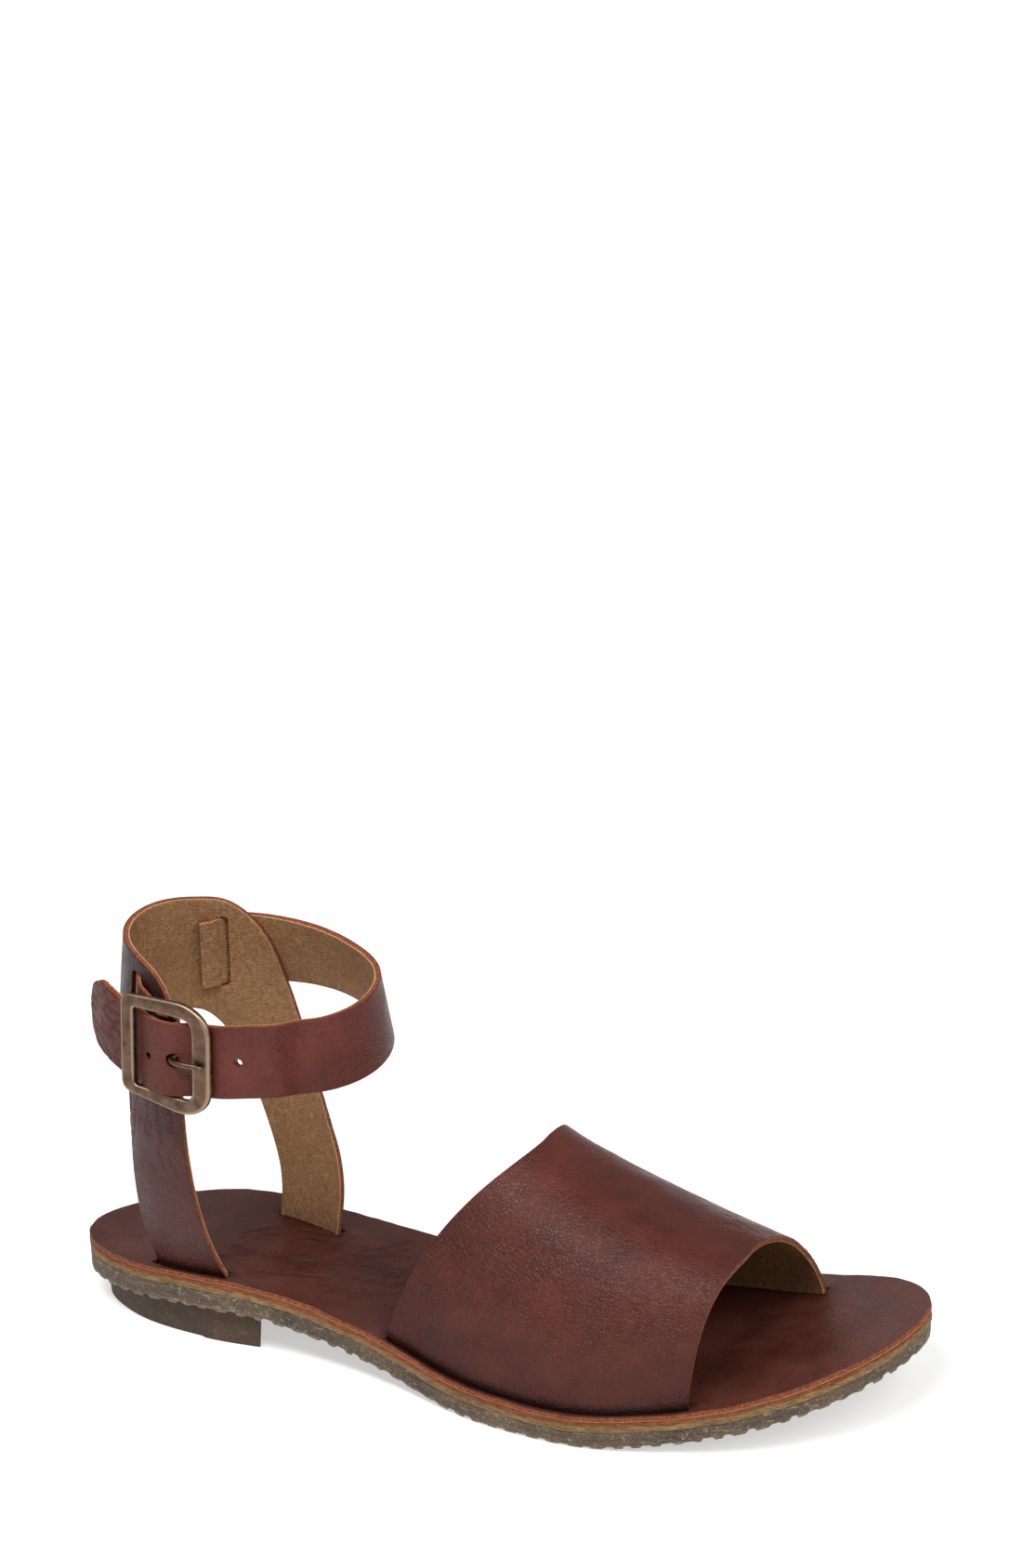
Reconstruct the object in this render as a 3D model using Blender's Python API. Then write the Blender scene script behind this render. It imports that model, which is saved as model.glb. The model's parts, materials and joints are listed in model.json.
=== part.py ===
"""Ankle strap sandal for the right foot, stood on its sole.

Lengths are in millimetres and are turned to metres as each mesh is made.
The heel's back is at station 0 and the toe's tip at station SOLE_LENGTH.
+X runs to the toe, +Y to the inner side of the foot, +Z up from the floor.
The finished sandal is centred over the origin.
"""
import bisect
import math

import bmesh
import bpy
from mathutils import Matrix, Vector

MM = 0.001

# Driving sizes
SOLE_LENGTH = 262.0
INSOLE_THICKNESS = 1.8
MIDSOLE_THICKNESS = 2.7
RUBBER_AT_HEEL = 6.6
RUBBER_AT_TOE = 5.0
GAP = 0.35
LEATHER = 2.0
STRAP_WIDTH = 22.0
ANCHOR_WIDTH = 20.6
PANEL_TO_STRAP = LEATHER + GAP

# Seen from above, the sole's edge on each side of the middle line
SOLE_OUTLINE = (
    # station, lateral, medial
    (0.0, -0.5, -0.2),
    (7.9, -14.0, 13.9),
    (23.6, -23.4, 24.4),
    (47.2, -28.4, 28.5),
    (78.6, -29.9, 26.9),
    (110.0, -37.3, 27.9),
    (141.5, -48.7, 34.1),
    (172.9, -53.6, 41.2),
    (199.1, -50.2, 40.9),
    (225.3, -42.6, 34.8),
    (246.3, -28.9, 26.7),
    (258.1, -12.7, 15.9),
    (262.0, 5.7, 2.9),
)

# Height of the insole's upper face along the foot
FOOTBED = (
    # station, height
    (0.0, 20.9),
    (52.4, 24.0),
    (94.3, 18.7),
    (131.0, 11.6),
    (150.0, 10.5),
    (172.0, 10.5),
    (209.6, 15.3),
    (262.0, 29.4),
)

# Sole stations
SOLE_STATIONS = 120
LAYER_STATIONS = 48
END_STATION = 0.25
STATION_BLEND = 0.5

# Notched side of the rubber
NOTCH_DEPTH = 1.3
NOTCH_REACH = 4.6
NOTCH_CYCLE = 3

# Heel block
HEEL_INSET = 5.8
HEEL_TAPER = 0.8
HEEL_BREAST = 63.5
HEEL_STATIONS = 16

# Band over the toes. Its two edges are given by their station at the lateral
# foot, the medial foot and the crown, and its height by an arch at two stations.
VAMP_BACK = {"middle": 115.0, "spread": -6.7, "crown": 31.6}
VAMP_FRONT = {"middle": 213.6, "spread": -9.5, "crown": 0.5}
VAMP_ARCH = (
    # station, height over the footbed, crown's shift to the medial side
    (110.0, 72.0, 20.8),
    (210.0, 35.8, -11.9),
)
VAMP_SIDE_POWER = 0.73
VAMP_CROWN_POWER = 1.44
VAMP_INSET_LATERAL = 3.8
VAMP_INSET_MEDIAL = 4.2
VAMP_AROUND = 26
VAMP_ALONG = 9
FOOT_DEPTH = INSOLE_THICKNESS - 0.2
FOOT_CLEAR = 0.85
SLOT_SWAY_LATERAL = -4.0
SLOT_SWAY_MEDIAL = 0.6

# Barrel that the heel strap lies on: an upright oval that changes with height
BARREL = (
    # height, half length, half width, centre station, centre side
    (10.0, 38.5, 19.0, 52.2, -4.0),
    (22.0, 38.5, 20.3, 53.0, -4.0),
    (40.0, 38.6, 25.2, 54.4, -3.8),
    (60.0, 39.0, 27.4, 55.8, -3.5),
    (80.0, 39.5, 27.9, 56.8, -3.3),
    (103.0, 39.0, 26.9, 57.5, -3.0),
    (125.0, 36.6, 24.6, 57.4, -3.0),
    (145.0, 34.4, 22.4, 56.8, -3.0),
)

# Heel strap: an inverted U. Each row crosses the strip once, from its front
# edge to its rear edge, as an angle round the barrel and a height.
HEEL_STRAP = (
    # front angle, front height, rear angle, rear height
    (272.6, 21.6, 237.8, 20.4),
    (268.0, 28.5, 232.0, 28.2),
    (262.6, 41.0, 223.2, 41.4),
    (257.5, 56.0, 218.6, 55.4),
    (254.2, 73.0, 217.6, 68.5),
    (252.4, 90.0, 217.0, 79.5),
    (249.4, 104.5, 212.0, 86.5),
    (245.0, 114.0, 203.0, 90.5),
    (236.0, 119.8, 192.0, 92.3),
    (222.0, 122.6, 182.0, 93.0),
    (205.0, 124.0, 172.0, 93.0),
    (187.0, 125.2, 162.0, 92.4),
    (168.0, 126.4, 152.0, 91.5),
    (149.0, 127.0, 143.0, 90.4),
    (131.0, 126.4, 134.0, 89.9),
    (115.0, 124.8, 126.5, 88.3),
    (103.0, 119.0, 119.9, 84.5),
    (95.0, 110.6, 113.6, 78.5),
    (89.4, 99.2, 108.4, 70.0),
    (82.9, 85.1, 102.2, 60.0),
    (75.0, 68.0, 96.4, 50.2),
    (67.4, 55.1, 91.6, 41.6),
    (60.0, 44.8, 88.5, 34.8),
    (55.2, 34.8, 86.9, 29.4),
    (54.0, 26.2, 86.4, 24.6),
    (53.8, 21.6, 86.3, 20.9),
)
HEEL_STRAP_ACROSS = 5

# Plane of the ankle loop: height at its centre and rise to the medial side
LOOP_CENTRE = (59.5, -3.0, 103.8)
LOOP_RISE = (0.02, 0.16)
MEDIAL_SLIT = 118.0
LATERAL_SLIT = 223.5
SLIT_HALF = 4.0
SLIT_SPARE = 4.2
SLIT_REACH = 12.0
SLIT_HEIGHT_LATERAL = 107.5

# Ankle strap round the barrel, from its end inside the medial slit to the buckle
LOOP_ROUTE = (
    # angle, distance outside the barrel's wall, lift off the loop's plane, inward lean
    (131.5, -2.45, 1.4, 0.09),
    (127.5, -2.45, 1.4, 0.09),
    (123.4, -2.45, 1.4, 0.09),
    (118.0, 0.0, 1.2, 0.09),
    (112.6, 2.45, 1.0, 0.09),
    (108.0, 2.5, 0.8, 0.1),
    (100.0, 2.4, 0.5, 0.12),
    (90.0, 2.3, 0.3, 0.17),
    (78.0, 1.9, 0.3, 0.23),
    (66.0, 1.4, 0.3, 0.26),
    (54.0, 1.0, 0.1, 0.26),
    (42.0, 0.9, -0.2, 0.23),
    (30.0, 1.1, -0.4, 0.19),
    (18.0, 1.6, -0.6, 0.16),
    (6.0, 1.9, -0.9, 0.14),
    (-6.0, 2.0, -1.3, 0.14),
    (-18.0, 2.0, -1.6, 0.14),
    (-30.0, 2.0, -1.6, 0.14),
    (-42.0, 2.1, -1.3, 0.13),
    (-54.0, 2.3, -0.5, 0.11),
)

# Ankle strap through the buckle, in the buckle's own directions
BUCKLE_ROUTE = (
    # along, out, up
    (32.0, -4.6, 1.7),
    (24.5, -1.1, 0.9),
    (18.0, 0.9, 0.0),
    (13.5, 1.1, -0.6),
    (9.2, 1.3, -1.0),
    (6.2, 2.7, -1.1),
    (3.0, 4.6, -1.1),
    (-0.5, 5.05, -1.1),
    (-4.2, 4.6, -1.0),
    (-7.8, 2.95, -0.9),
    (-10.8, 1.3, -0.7),
    (-15.0, 0.9, 0.3),
    (-19.5, 0.0, 1.6),
    (-24.4, -1.7, 3.2),
    (-29.6, -4.4, 4.6),
)
STRAP_STEPS = 2
TIP_LENGTH = 9.5
STRAP_HOLES = (
    # along, up, radius
    (22.8, 0.8, 1.2),
    (13.4, -0.6, 1.2),
    (-5.2, -1.5, 1.1),
)
PRONG_HOLE = {"along": 2.2, "radius": 2.15}

# Short strap that holds the buckle: round the barrel, then round the bar
ANCHOR_ROUTE = (
    # angle, distance outside the barrel's wall, height
    (210.5, -2.1, 109.4),
    (214.0, -2.1, 109.2),
    (217.6, -2.1, 108.8),
    (223.5, 0.0, 107.6),
    (229.4, 2.1, 106.2),
    (234.0, 2.4, 104.8),
    (239.0, 2.5, 103.2),
)
ANCHOR_BAR_ROUTE = (
    # along, out
    (-6.5, -1.6),
    (-3.0, -1.05),
)
ANCHOR_FOLD = 1.3
ANCHOR_FLAP = ((-3.2, 2.6), (-5.5, 1.5), (-7.6, 0.4))

# Buckle, in a plane that touches the loop at this angle
BUCKLE_ANGLE = 252.5
PLATE_OUT = 3.9
PLATE_THICKNESS = 2.2
BAR_OUT = 1.0
BAR_RADIUS = 1.0
BUCKLE_UP = -1.1
BUCKLE_LIFT = 1.0
BUCKLE_OUTER = (
    # along, up, corner radius
    (-15.4, 14.9, 3.0),
    (8.0, 16.8, 8.0),
    (17.0, 11.8, 12.0),
    (17.0, -13.2, 12.0),
    (8.0, -18.3, 9.0),
    (-15.4, -15.0, 3.0),
)
BUCKLE_WINDOW = (
    # along, up, corner radius
    (-10.9, 11.3, 1.2),
    (9.3, 11.6, 3.4),
    (9.3, -13.2, 3.4),
    (-10.9, -12.7, 1.2),
)
BUCKLE_POINTS = 36
PLATE_EDGE = 0.5

# Prong, in the buckle's own directions
PRONG_RADIUS = 0.9
PRONG_EYE_RADIUS = 0.6
PRONG_ARM = (
    # along, out
    (1.9, 4.1),
    (3.4, 5.7),
    (5.4, 6.7),
    (8.0, 6.75),
    (11.0, 6.4),
    (14.2, 6.3),
)
ROD_SIDES = 8


def smooth_table(rows, column):
    """A smooth function of a table's first column, through one of its other columns."""
    places = [row[0] for row in rows]
    values = [row[column] for row in rows]
    last = len(rows) - 1
    chords = [(values[k + 1] - values[k]) / (places[k + 1] - places[k]) for k in range(last)]
    slopes = [chords[0]]
    for k in range(1, last):
        before = places[k] - places[k - 1]
        after = places[k + 1] - places[k]
        slopes.append((chords[k - 1] * after + chords[k] * before) / (before + after))
    slopes.append(chords[-1])

    def value(place):
        k = min(max(bisect.bisect_right(places, place) - 1, 0), last - 1)
        width = places[k + 1] - places[k]
        t = min(max((place - places[k]) / width, 0.0), 1.0)
        rise = t * t * (3.0 - 2.0 * t)
        start = t * (1.0 - t) ** 2 * width * slopes[k]
        end = t * t * (t - 1.0) * width * slopes[k + 1]
        return values[k] + (values[k + 1] - values[k]) * rise + start + end

    return value


def smooth_path(rows, steps):
    """Points along a smooth curve through the rows, with the given steps between rows."""
    points = []
    last = len(rows) - 1
    for k in range(last):
        before = rows[max(k - 1, 0)]
        start = rows[k]
        end = rows[k + 1]
        after = rows[min(k + 2, last)]
        for step in range(steps):
            t = step / steps
            point = []
            for a, b, c, d in zip(before, start, end, after):
                bend = (2.0 * a - 5.0 * b + 4.0 * c - d) * t * t
                twist = (3.0 * b - a - 3.0 * c + d) * t ** 3
                point.append(0.5 * (2.0 * b + (c - a) * t + bend + twist))
            points.append(tuple(point))
    points.append(tuple(rows[last]))
    return points


def round_station(station):
    """The outline's place as an angle, so that its round ends come out round."""
    share = min(max(station / SOLE_LENGTH, 0.0), 1.0)
    return math.acos(1.0 - 2.0 * share)


ROUND_OUTLINE = [(round_station(row[0]), row[1], row[2]) for row in SOLE_OUTLINE]
LATERAL_BY_ANGLE = smooth_table(ROUND_OUTLINE, 1)
MEDIAL_BY_ANGLE = smooth_table(ROUND_OUTLINE, 2)
FOOTBED_HEIGHT = smooth_table(FOOTBED, 1)
BARREL_LENGTH = smooth_table(BARREL, 1)
BARREL_WIDTH = smooth_table(BARREL, 2)
BARREL_STATION = smooth_table(BARREL, 3)
BARREL_SIDE = smooth_table(BARREL, 4)
SIDES = [row[1] for row in SOLE_OUTLINE] + [row[2] for row in SOLE_OUTLINE]
CENTRE = Vector((SOLE_LENGTH / 2.0, (min(SIDES) + max(SIDES)) / 2.0, 0.0))


def lateral_edge(station):
    return LATERAL_BY_ANGLE(round_station(station))


def medial_edge(station):
    return MEDIAL_BY_ANGLE(round_station(station))


def insole_bottom(station):
    return FOOTBED_HEIGHT(station) - INSOLE_THICKNESS


def midsole_top(station):
    return insole_bottom(station) - GAP


def midsole_bottom(station):
    return midsole_top(station) - MIDSOLE_THICKNESS


def rubber_top(station):
    return midsole_bottom(station) - GAP


def rubber_bottom(station):
    share = station / SOLE_LENGTH
    rubber = RUBBER_AT_HEEL + (RUBBER_AT_TOE - RUBBER_AT_HEEL) * share
    return max(rubber_top(station) - rubber, 0.0)


def material(name, colour, roughness, metallic=0.0):
    made = bpy.data.materials.new(name)
    made.use_nodes = True
    shader = made.node_tree.nodes["Principled BSDF"]
    shader.inputs["Base Color"].default_value = (*colour, 1.0)
    shader.inputs["Roughness"].default_value = roughness
    shader.inputs["Metallic"].default_value = metallic
    return made


def finish(name, bm, surface, smooth=True):
    """Turn a mesh that was built in millimetres into a node of the sandal."""
    bmesh.ops.translate(bm, verts=bm.verts[:], vec=-CENTRE)
    bmesh.ops.scale(bm, verts=bm.verts[:], vec=(MM, MM, MM))
    bmesh.ops.recalc_face_normals(bm, faces=bm.faces[:])
    mesh = bpy.data.meshes.new(name)
    bm.to_mesh(mesh)
    bm.free()
    node = bpy.data.objects.new(name, mesh)
    bpy.context.scene.collection.objects.link(node)
    if surface is not None:
        mesh.materials.append(surface)
    if smooth:
        mesh.shade_smooth()
    return node


def sheet(rows):
    """A grid of faces through rows of points."""
    bm = bmesh.new()
    along = len(rows)
    across = len(rows[0])
    bmesh.ops.create_grid(bm, x_segments=along - 1, y_segments=across - 1, size=1.0)
    bm.verts.ensure_lookup_table()
    for vertex in bm.verts:
        i = round((vertex.co.x + 1.0) / 2.0 * (along - 1))
        j = round((vertex.co.y + 1.0) / 2.0 * (across - 1))
        vertex.co = rows[i][j]
    return bm


def thicken(node, thickness):
    """Give a sheet its wall, half to each side."""
    wall = node.modifiers.new("Wall", "SOLIDIFY")
    wall.thickness = thickness * MM
    wall.offset = 0.0
    wall.use_even_offset = True
    wall.thickness_clamp = 0.0


def cut(node, cutter):
    cutter.hide_render = True
    cutter.display_type = "WIRE"
    opening = node.modifiers.new("Cut " + cutter.name, "BOOLEAN")
    opening.operation = "DIFFERENCE"
    opening.solver = "EXACT"
    opening.object = cutter


def join(node, other):
    """Fuse a second closed shape into a node. The second shape is only a guide."""
    other.hide_render = True
    other.display_type = "WIRE"
    union = node.modifiers.new("Join " + other.name, "BOOLEAN")
    union.operation = "UNION"
    union.solver = "EXACT"
    union.object = other


def stations(count, first=END_STATION, last=SOLE_LENGTH - END_STATION):
    """Stations along the sole, closer together towards its round ends."""
    places = []
    for k in range(count + 1):
        share = k / count
        rounded = (1.0 - math.cos(math.pi * share)) / 2.0
        blend = STATION_BLEND * share + (1.0 - STATION_BLEND) * rounded
        places.append(first + (last - first) * blend)
    return places


def slab(places, across, top, bottom, edge=0.0):
    """A layer of the sole: a grid over its outline, drawn down to its lower face."""
    rows = []
    for place in places:
        low = lateral_edge(place) + edge
        high = medial_edge(place) - edge
        row = []
        for share in across:
            row.append(Vector((place, low + (high - low) * share, top(place))))
        rows.append(row)
    bm = sheet(rows)
    upper = bm.verts[:]
    made = bmesh.ops.extrude_face_region(bm, geom=bm.faces[:])
    lower = [item for item in made["geom"] if isinstance(item, bmesh.types.BMVert)]
    for vertex in lower:
        vertex.co.z = bottom(vertex.co.x)
    return bm, upper, lower


def make_outsole(rubber):
    """Rubber sheet with the sole's outline and a row of notches round its lower edge."""
    places = stations(SOLE_STATIONS)
    width = medial_edge(SOLE_LENGTH * 0.7) - lateral_edge(SOLE_LENGTH * 0.7)
    inner = NOTCH_REACH / width
    across = (0.0, inner, 0.5, 1.0 - inner, 1.0)
    bm, _, lower = slab(places, across, rubber_top, rubber_bottom)
    notched = places[2:-2:NOTCH_CYCLE]
    for vertex in lower:
        at_edge = min(
            abs(vertex.co.y - lateral_edge(vertex.co.x)),
            abs(vertex.co.y - medial_edge(vertex.co.x)),
        )
        at_notch = min(abs(vertex.co.x - place) for place in notched)
        if at_edge < 0.01 and at_notch < 0.01:
            vertex.co.z += NOTCH_DEPTH
    return finish("outsole", bm, rubber)


def make_heel(rubber):
    """Low block under the heel, set in from the sole's edge, with a straight breast."""
    rows = []
    outline_step = 0.2
    for k in range(HEEL_STATIONS + 1):
        share = k / HEEL_STATIONS
        place = END_STATION + HEEL_BREAST * share ** 1.6
        row = []
        for edge, side in ((lateral_edge, -1.0), (medial_edge, 1.0)):
            ahead = Vector((place + outline_step, edge(place + outline_step)))
            tangent = ahead - Vector((place, edge(place)))
            tangent.normalize()
            inward = Vector((tangent.y, -tangent.x)) * side
            point = Vector((place, edge(place))) + inward * HEEL_INSET
            row.append(Vector((min(point.x, HEEL_BREAST), point.y, 0.0)))
        middle = (row[0] + row[1]) / 2.0
        rows.append((row[0], middle, row[1]))
    bm = sheet(rows)
    made = bmesh.ops.extrude_face_region(bm, geom=bm.faces[:])
    lower = [item for item in made["geom"] if isinstance(item, bmesh.types.BMVert)]
    upper = [vertex for vertex in bm.verts if vertex not in set(lower)]
    for vertex in upper:
        vertex.co.z = rubber_bottom(vertex.co.x) - GAP
    centre = Vector((HEEL_BREAST / 2.0, 0.0, 0.0))
    for vertex in lower:
        vertex.co.z = 0.0
        if vertex.co.x < HEEL_BREAST - 1.0:
            outward = (vertex.co - centre).normalized()
            vertex.co -= outward * HEEL_TAPER
    return finish("heel", bm, rubber)


def make_midsole(board):
    bm, _, _ = slab(stations(LAYER_STATIONS), (0.0, 0.5, 1.0), midsole_top, midsole_bottom)
    return finish("midsole", bm, board)


def make_insole(leather, slots):
    bm, _, _ = slab(stations(LAYER_STATIONS), (0.0, 0.5, 1.0), FOOTBED_HEIGHT, insole_bottom)
    insole = finish("insole", bm, leather)
    for slot in slots:
        cut(insole, slot)
    return insole


def vamp_point(angle, share):
    """Middle of the toe band's wall. The angle runs from the lateral foot over to the medial."""
    lean = math.cos(angle)
    lift = math.sin(angle)
    edges = []
    for edge in (VAMP_BACK, VAMP_FRONT):
        edges.append(edge["middle"] + edge["spread"] * lean + edge["crown"] * lift ** 2)
    place = edges[0] + (edges[1] - edges[0]) * share
    (back, back_height, back_shift), (front, front_height, front_shift) = VAMP_ARCH
    forward = (place - back) / (front - back)
    height = back_height + (front_height - back_height) * forward
    shift = back_shift + (front_shift - back_shift) * forward
    low = lateral_edge(place) + VAMP_INSET_LATERAL
    high = medial_edge(place) - VAMP_INSET_MEDIAL
    side = math.copysign(abs(lean) ** VAMP_SIDE_POWER, lean)
    across = (low + high) / 2.0 - (high - low) / 2.0 * side + shift * lift ** 2
    rise = height * abs(lift) ** VAMP_CROWN_POWER
    return Vector((place, across, FOOTBED_HEIGHT(place) + rise))


def vamp_foot(angle, depth):
    """The straight end of the band, down in the insole's slot."""
    points = []
    for k in range(VAMP_ALONG + 1):
        point = vamp_point(angle, k / VAMP_ALONG)
        points.append(point - Vector((0.0, 0.0, depth)))
    return points


def make_vamp(leather):
    rows = [vamp_foot(0.0, FOOT_DEPTH)]
    for step in range(VAMP_AROUND + 1):
        angle = math.pi * step / VAMP_AROUND
        rows.append([vamp_point(angle, k / VAMP_ALONG) for k in range(VAMP_ALONG + 1)])
    rows.append(vamp_foot(math.pi, FOOT_DEPTH))
    vamp = finish("vamp", sheet(rows), leather)
    thicken(vamp, LEATHER)
    return vamp


def barrel_point(angle, height, out=0.0):
    """A point on the oval barrel, a distance outside its wall."""
    turn = math.radians(angle)
    length = BARREL_LENGTH(height)
    width = BARREL_WIDTH(height)
    lean = Vector((math.cos(turn) / length, math.sin(turn) / width, 0.0)).normalized()
    wall = Vector((
        BARREL_STATION(height) + length * math.cos(turn),
        BARREL_SIDE(height) + width * math.sin(turn),
        height,
    ))
    return wall + lean * out


def make_heel_strap(leather, slits):
    rows = []
    for row in smooth_path(HEEL_STRAP, 2):
        front_angle, front_height, rear_angle, rear_height = row
        points = []
        for j in range(HEEL_STRAP_ACROSS + 1):
            share = j / HEEL_STRAP_ACROSS
            angle = front_angle + (rear_angle - front_angle) * share
            height = front_height + (rear_height - front_height) * share
            point = barrel_point(angle, height)
            seat = midsole_top(point.x) + FOOT_CLEAR
            points.append(barrel_point(angle, max(height, seat)))
        rows.append(points)
    strap = finish("heel_strap", sheet(rows), leather)
    thicken(strap, LEATHER)
    for slit in slits:
        cut(strap, slit)
    return strap


def make_slit(name, angle, height, width):
    """Cutter for an upright slit through the heel strap."""
    here = barrel_point(angle, height)
    out = (barrel_point(angle, height, 1.0) - here).normalized()
    up = (barrel_point(angle, height + 1.0) - here).normalized()
    along = up.cross(out).normalized()
    out = along.cross(up).normalized()
    bm = bmesh.new()
    bmesh.ops.create_cube(bm, size=1.0)
    bmesh.ops.scale(bm, verts=bm.verts[:], vec=(2.0 * SLIT_HALF, SLIT_REACH, width + SLIT_SPARE))
    turn = Matrix((along, out, up)).transposed()
    bmesh.ops.rotate(bm, verts=bm.verts[:], matrix=turn)
    bmesh.ops.translate(bm, verts=bm.verts[:], vec=here)
    return finish(name, bm, None, smooth=False)


def make_slot(name, top_points, drop):
    """Cutter for a strap's slot in the insole, along the strap's own foot."""
    first = top_points[0] - top_points[1]
    last = top_points[-1] - top_points[-2]
    points = [top_points[0] + first.normalized() * GAP]
    points += top_points[1:-1]
    points.append(top_points[-1] + last.normalized() * GAP)
    rows = []
    for point in points:
        lower = point + drop
        rows.append((point, (point + lower) / 2.0, lower))
    slot = finish(name, sheet(rows), None, smooth=False)
    thicken(slot, LEATHER + 2.0 * GAP + 0.1)
    return slot


def make_slots():
    """The four cutters for the insole: two under the toe band, two under the heel strap."""
    slots = []
    for name, angle in (("slot_vamp_lateral", 0.0), ("slot_vamp_medial", math.pi)):
        points = [point + Vector((0.0, 0.0, 2.0)) for point in vamp_foot(angle, 0.0)]
        slots.append(make_slot(name, points, Vector((0.0, 0.0, -6.0))))
    for name, row, sway in (
        ("slot_heel_lateral", HEEL_STRAP[0], SLOT_SWAY_LATERAL),
        ("slot_heel_medial", HEEL_STRAP[-1], SLOT_SWAY_MEDIAL),
    ):
        front_angle = row[0]
        rear_angle = row[2] + sway
        rows = []
        for j in range(HEEL_STRAP_ACROSS + 1):
            share = j / HEEL_STRAP_ACROSS
            angle = front_angle + (rear_angle - front_angle) * share
            rows.append([barrel_point(angle, height) for height in (27.0, 23.0, 19.0, 15.0)])
        ends = (rows[0], rows[1]), (rows[-1], rows[-2])
        for end, inner in ends:
            for k, point in enumerate(end):
                end[k] = point + (point - inner[k]).normalized() * GAP
        slot = finish(name, sheet(rows), None, smooth=False)
        thicken(slot, LEATHER + 2.0 * GAP + 0.1)
        slots.append(slot)
    return slots


def loop_height(angle):
    """Height of the ankle loop's middle line, on its tilted plane."""
    point = barrel_point(angle, LOOP_CENTRE[2])
    rise = LOOP_RISE[0] * (point.x - LOOP_CENTRE[0]) + LOOP_RISE[1] * (point.y - LOOP_CENTRE[1])
    return LOOP_CENTRE[2] + rise


def buckle_axes():
    """The buckle's middle and its directions: along to the toe, out from the ankle, and up."""
    height = loop_height(BUCKLE_ANGLE) + BUCKLE_LIFT
    middle = barrel_point(BUCKLE_ANGLE, height, PANEL_TO_STRAP + LEATHER / 2.0)
    ahead = barrel_point(BUCKLE_ANGLE + 1.0, height, PANEL_TO_STRAP + LEATHER / 2.0)
    along = (ahead - middle).normalized()
    up = barrel_up(BUCKLE_ANGLE, height)
    up = (up - along * up.dot(along)).normalized()
    out = along.cross(up).normalized()
    return middle, along, out, up


def buckle_point(along, out, up):
    middle, direction, outward, upward = buckle_axes()
    return middle + direction * along + outward * out + upward * up


def barrel_up(angle, height):
    """Direction of the barrel's wall, upwards."""
    return (barrel_point(angle, height + 8.0) - barrel_point(angle, height - 8.0)).normalized()


def measured(frames):
    """The same frames, each with its distance from the strap's free end."""
    made = []
    to_end = 0.0
    after = frames[-1][0]
    for point, up in reversed(frames):
        to_end += (after - point).length
        after = point
        made.append((point, up, to_end))
    made.reverse()
    return made


def smooth_frames(frames, steps):
    rows = [(*point, *up) for point, up in frames]
    made = []
    for row in smooth_path(rows, steps):
        made.append((Vector(row[:3]), Vector(row[3:]).normalized()))
    return made


def strap_frames():
    """The ankle strap's middle line and its upward direction."""
    _, _, _, buckle_up = buckle_axes()
    frames = []
    for angle, out, lift, lean in LOOP_ROUTE:
        height = loop_height(angle) + lift
        point = barrel_point(angle, height, out)
        outward = (barrel_point(angle, height, 1.0) - barrel_point(angle, height)).normalized()
        up = Vector((0.0, 0.0, math.cos(lean))) - outward * math.sin(lean)
        frames.append((point, up))
    for along, out, up in BUCKLE_ROUTE:
        frames.append((buckle_point(along, out, up), buckle_up))
    return measured(smooth_frames(frames, STRAP_STEPS))


def tip_width(to_end):
    """Half the strap's width, drawn in to a rounded point at its free end."""
    if to_end >= TIP_LENGTH:
        return STRAP_WIDTH / 2.0
    share = max(to_end / TIP_LENGTH, 0.0)
    return STRAP_WIDTH / 2.0 * (0.18 + 0.82 * math.sqrt(1.0 - (1.0 - share) ** 2))


def band(frames, half_width):
    """A strip across a path, five points wide."""
    rows = []
    for point, up, to_end in frames:
        half = half_width(to_end)
        rows.append([point + up * half * share for share in (-1.0, -0.5, 0.0, 0.5, 1.0)])
    return sheet(rows)


def hole_cutter(name, along, up, radius, lean=0.0):
    """Round cutter through the strap at the buckle, leaning along the strap if asked."""
    _, direction, outward, upward = buckle_axes()
    axis = (outward + direction * lean).normalized()
    bm = bmesh.new()
    bmesh.ops.create_cone(
        bm, cap_ends=True, segments=10, radius1=radius, radius2=radius, depth=14.0
    )
    side = upward.cross(axis).normalized()
    turn = Matrix((side, axis.cross(side), axis)).transposed()
    bmesh.ops.rotate(bm, verts=bm.verts[:], matrix=turn)
    bmesh.ops.translate(bm, verts=bm.verts[:], vec=buckle_point(along, 3.0, up))
    return finish(name, bm, None, smooth=False)


def make_ankle_strap(leather):
    strap = finish("ankle_strap", band(strap_frames(), tip_width), leather)
    thicken(strap, LEATHER)
    for number, (along, up, radius) in enumerate(STRAP_HOLES, start=1):
        cut(strap, hole_cutter("strap_hole_%d" % number, along, up, radius))
    prong_hole = hole_cutter(
        "strap_prong_hole", PRONG_HOLE["along"], BUCKLE_UP, PRONG_HOLE["radius"], lean=0.5
    )
    cut(strap, prong_hole)
    return strap


def anchor_frames():
    """The short strap's middle line: through its slit, to the bar and back over it."""
    _, _, _, buckle_up = buckle_axes()
    frames = []
    for angle, out, height in ANCHOR_ROUTE:
        frames.append((barrel_point(angle, height, out), barrel_up(angle, height)))
    for along, out in ANCHOR_BAR_ROUTE:
        frames.append((buckle_point(along, out, BUCKLE_UP), buckle_up))
    radius = BAR_RADIUS + GAP + ANCHOR_FOLD / 2.0
    for turn in (-90.0, -55.0, -20.0, 20.0, 55.0, 90.0):
        angle = math.radians(turn)
        along = radius * math.cos(angle)
        out = BAR_OUT + radius * math.sin(angle)
        frames.append((buckle_point(along, out, BUCKLE_UP), buckle_up))
    for along, out in ANCHOR_FLAP:
        frames.append((buckle_point(along, out, BUCKLE_UP), buckle_up))
    return frames


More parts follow.
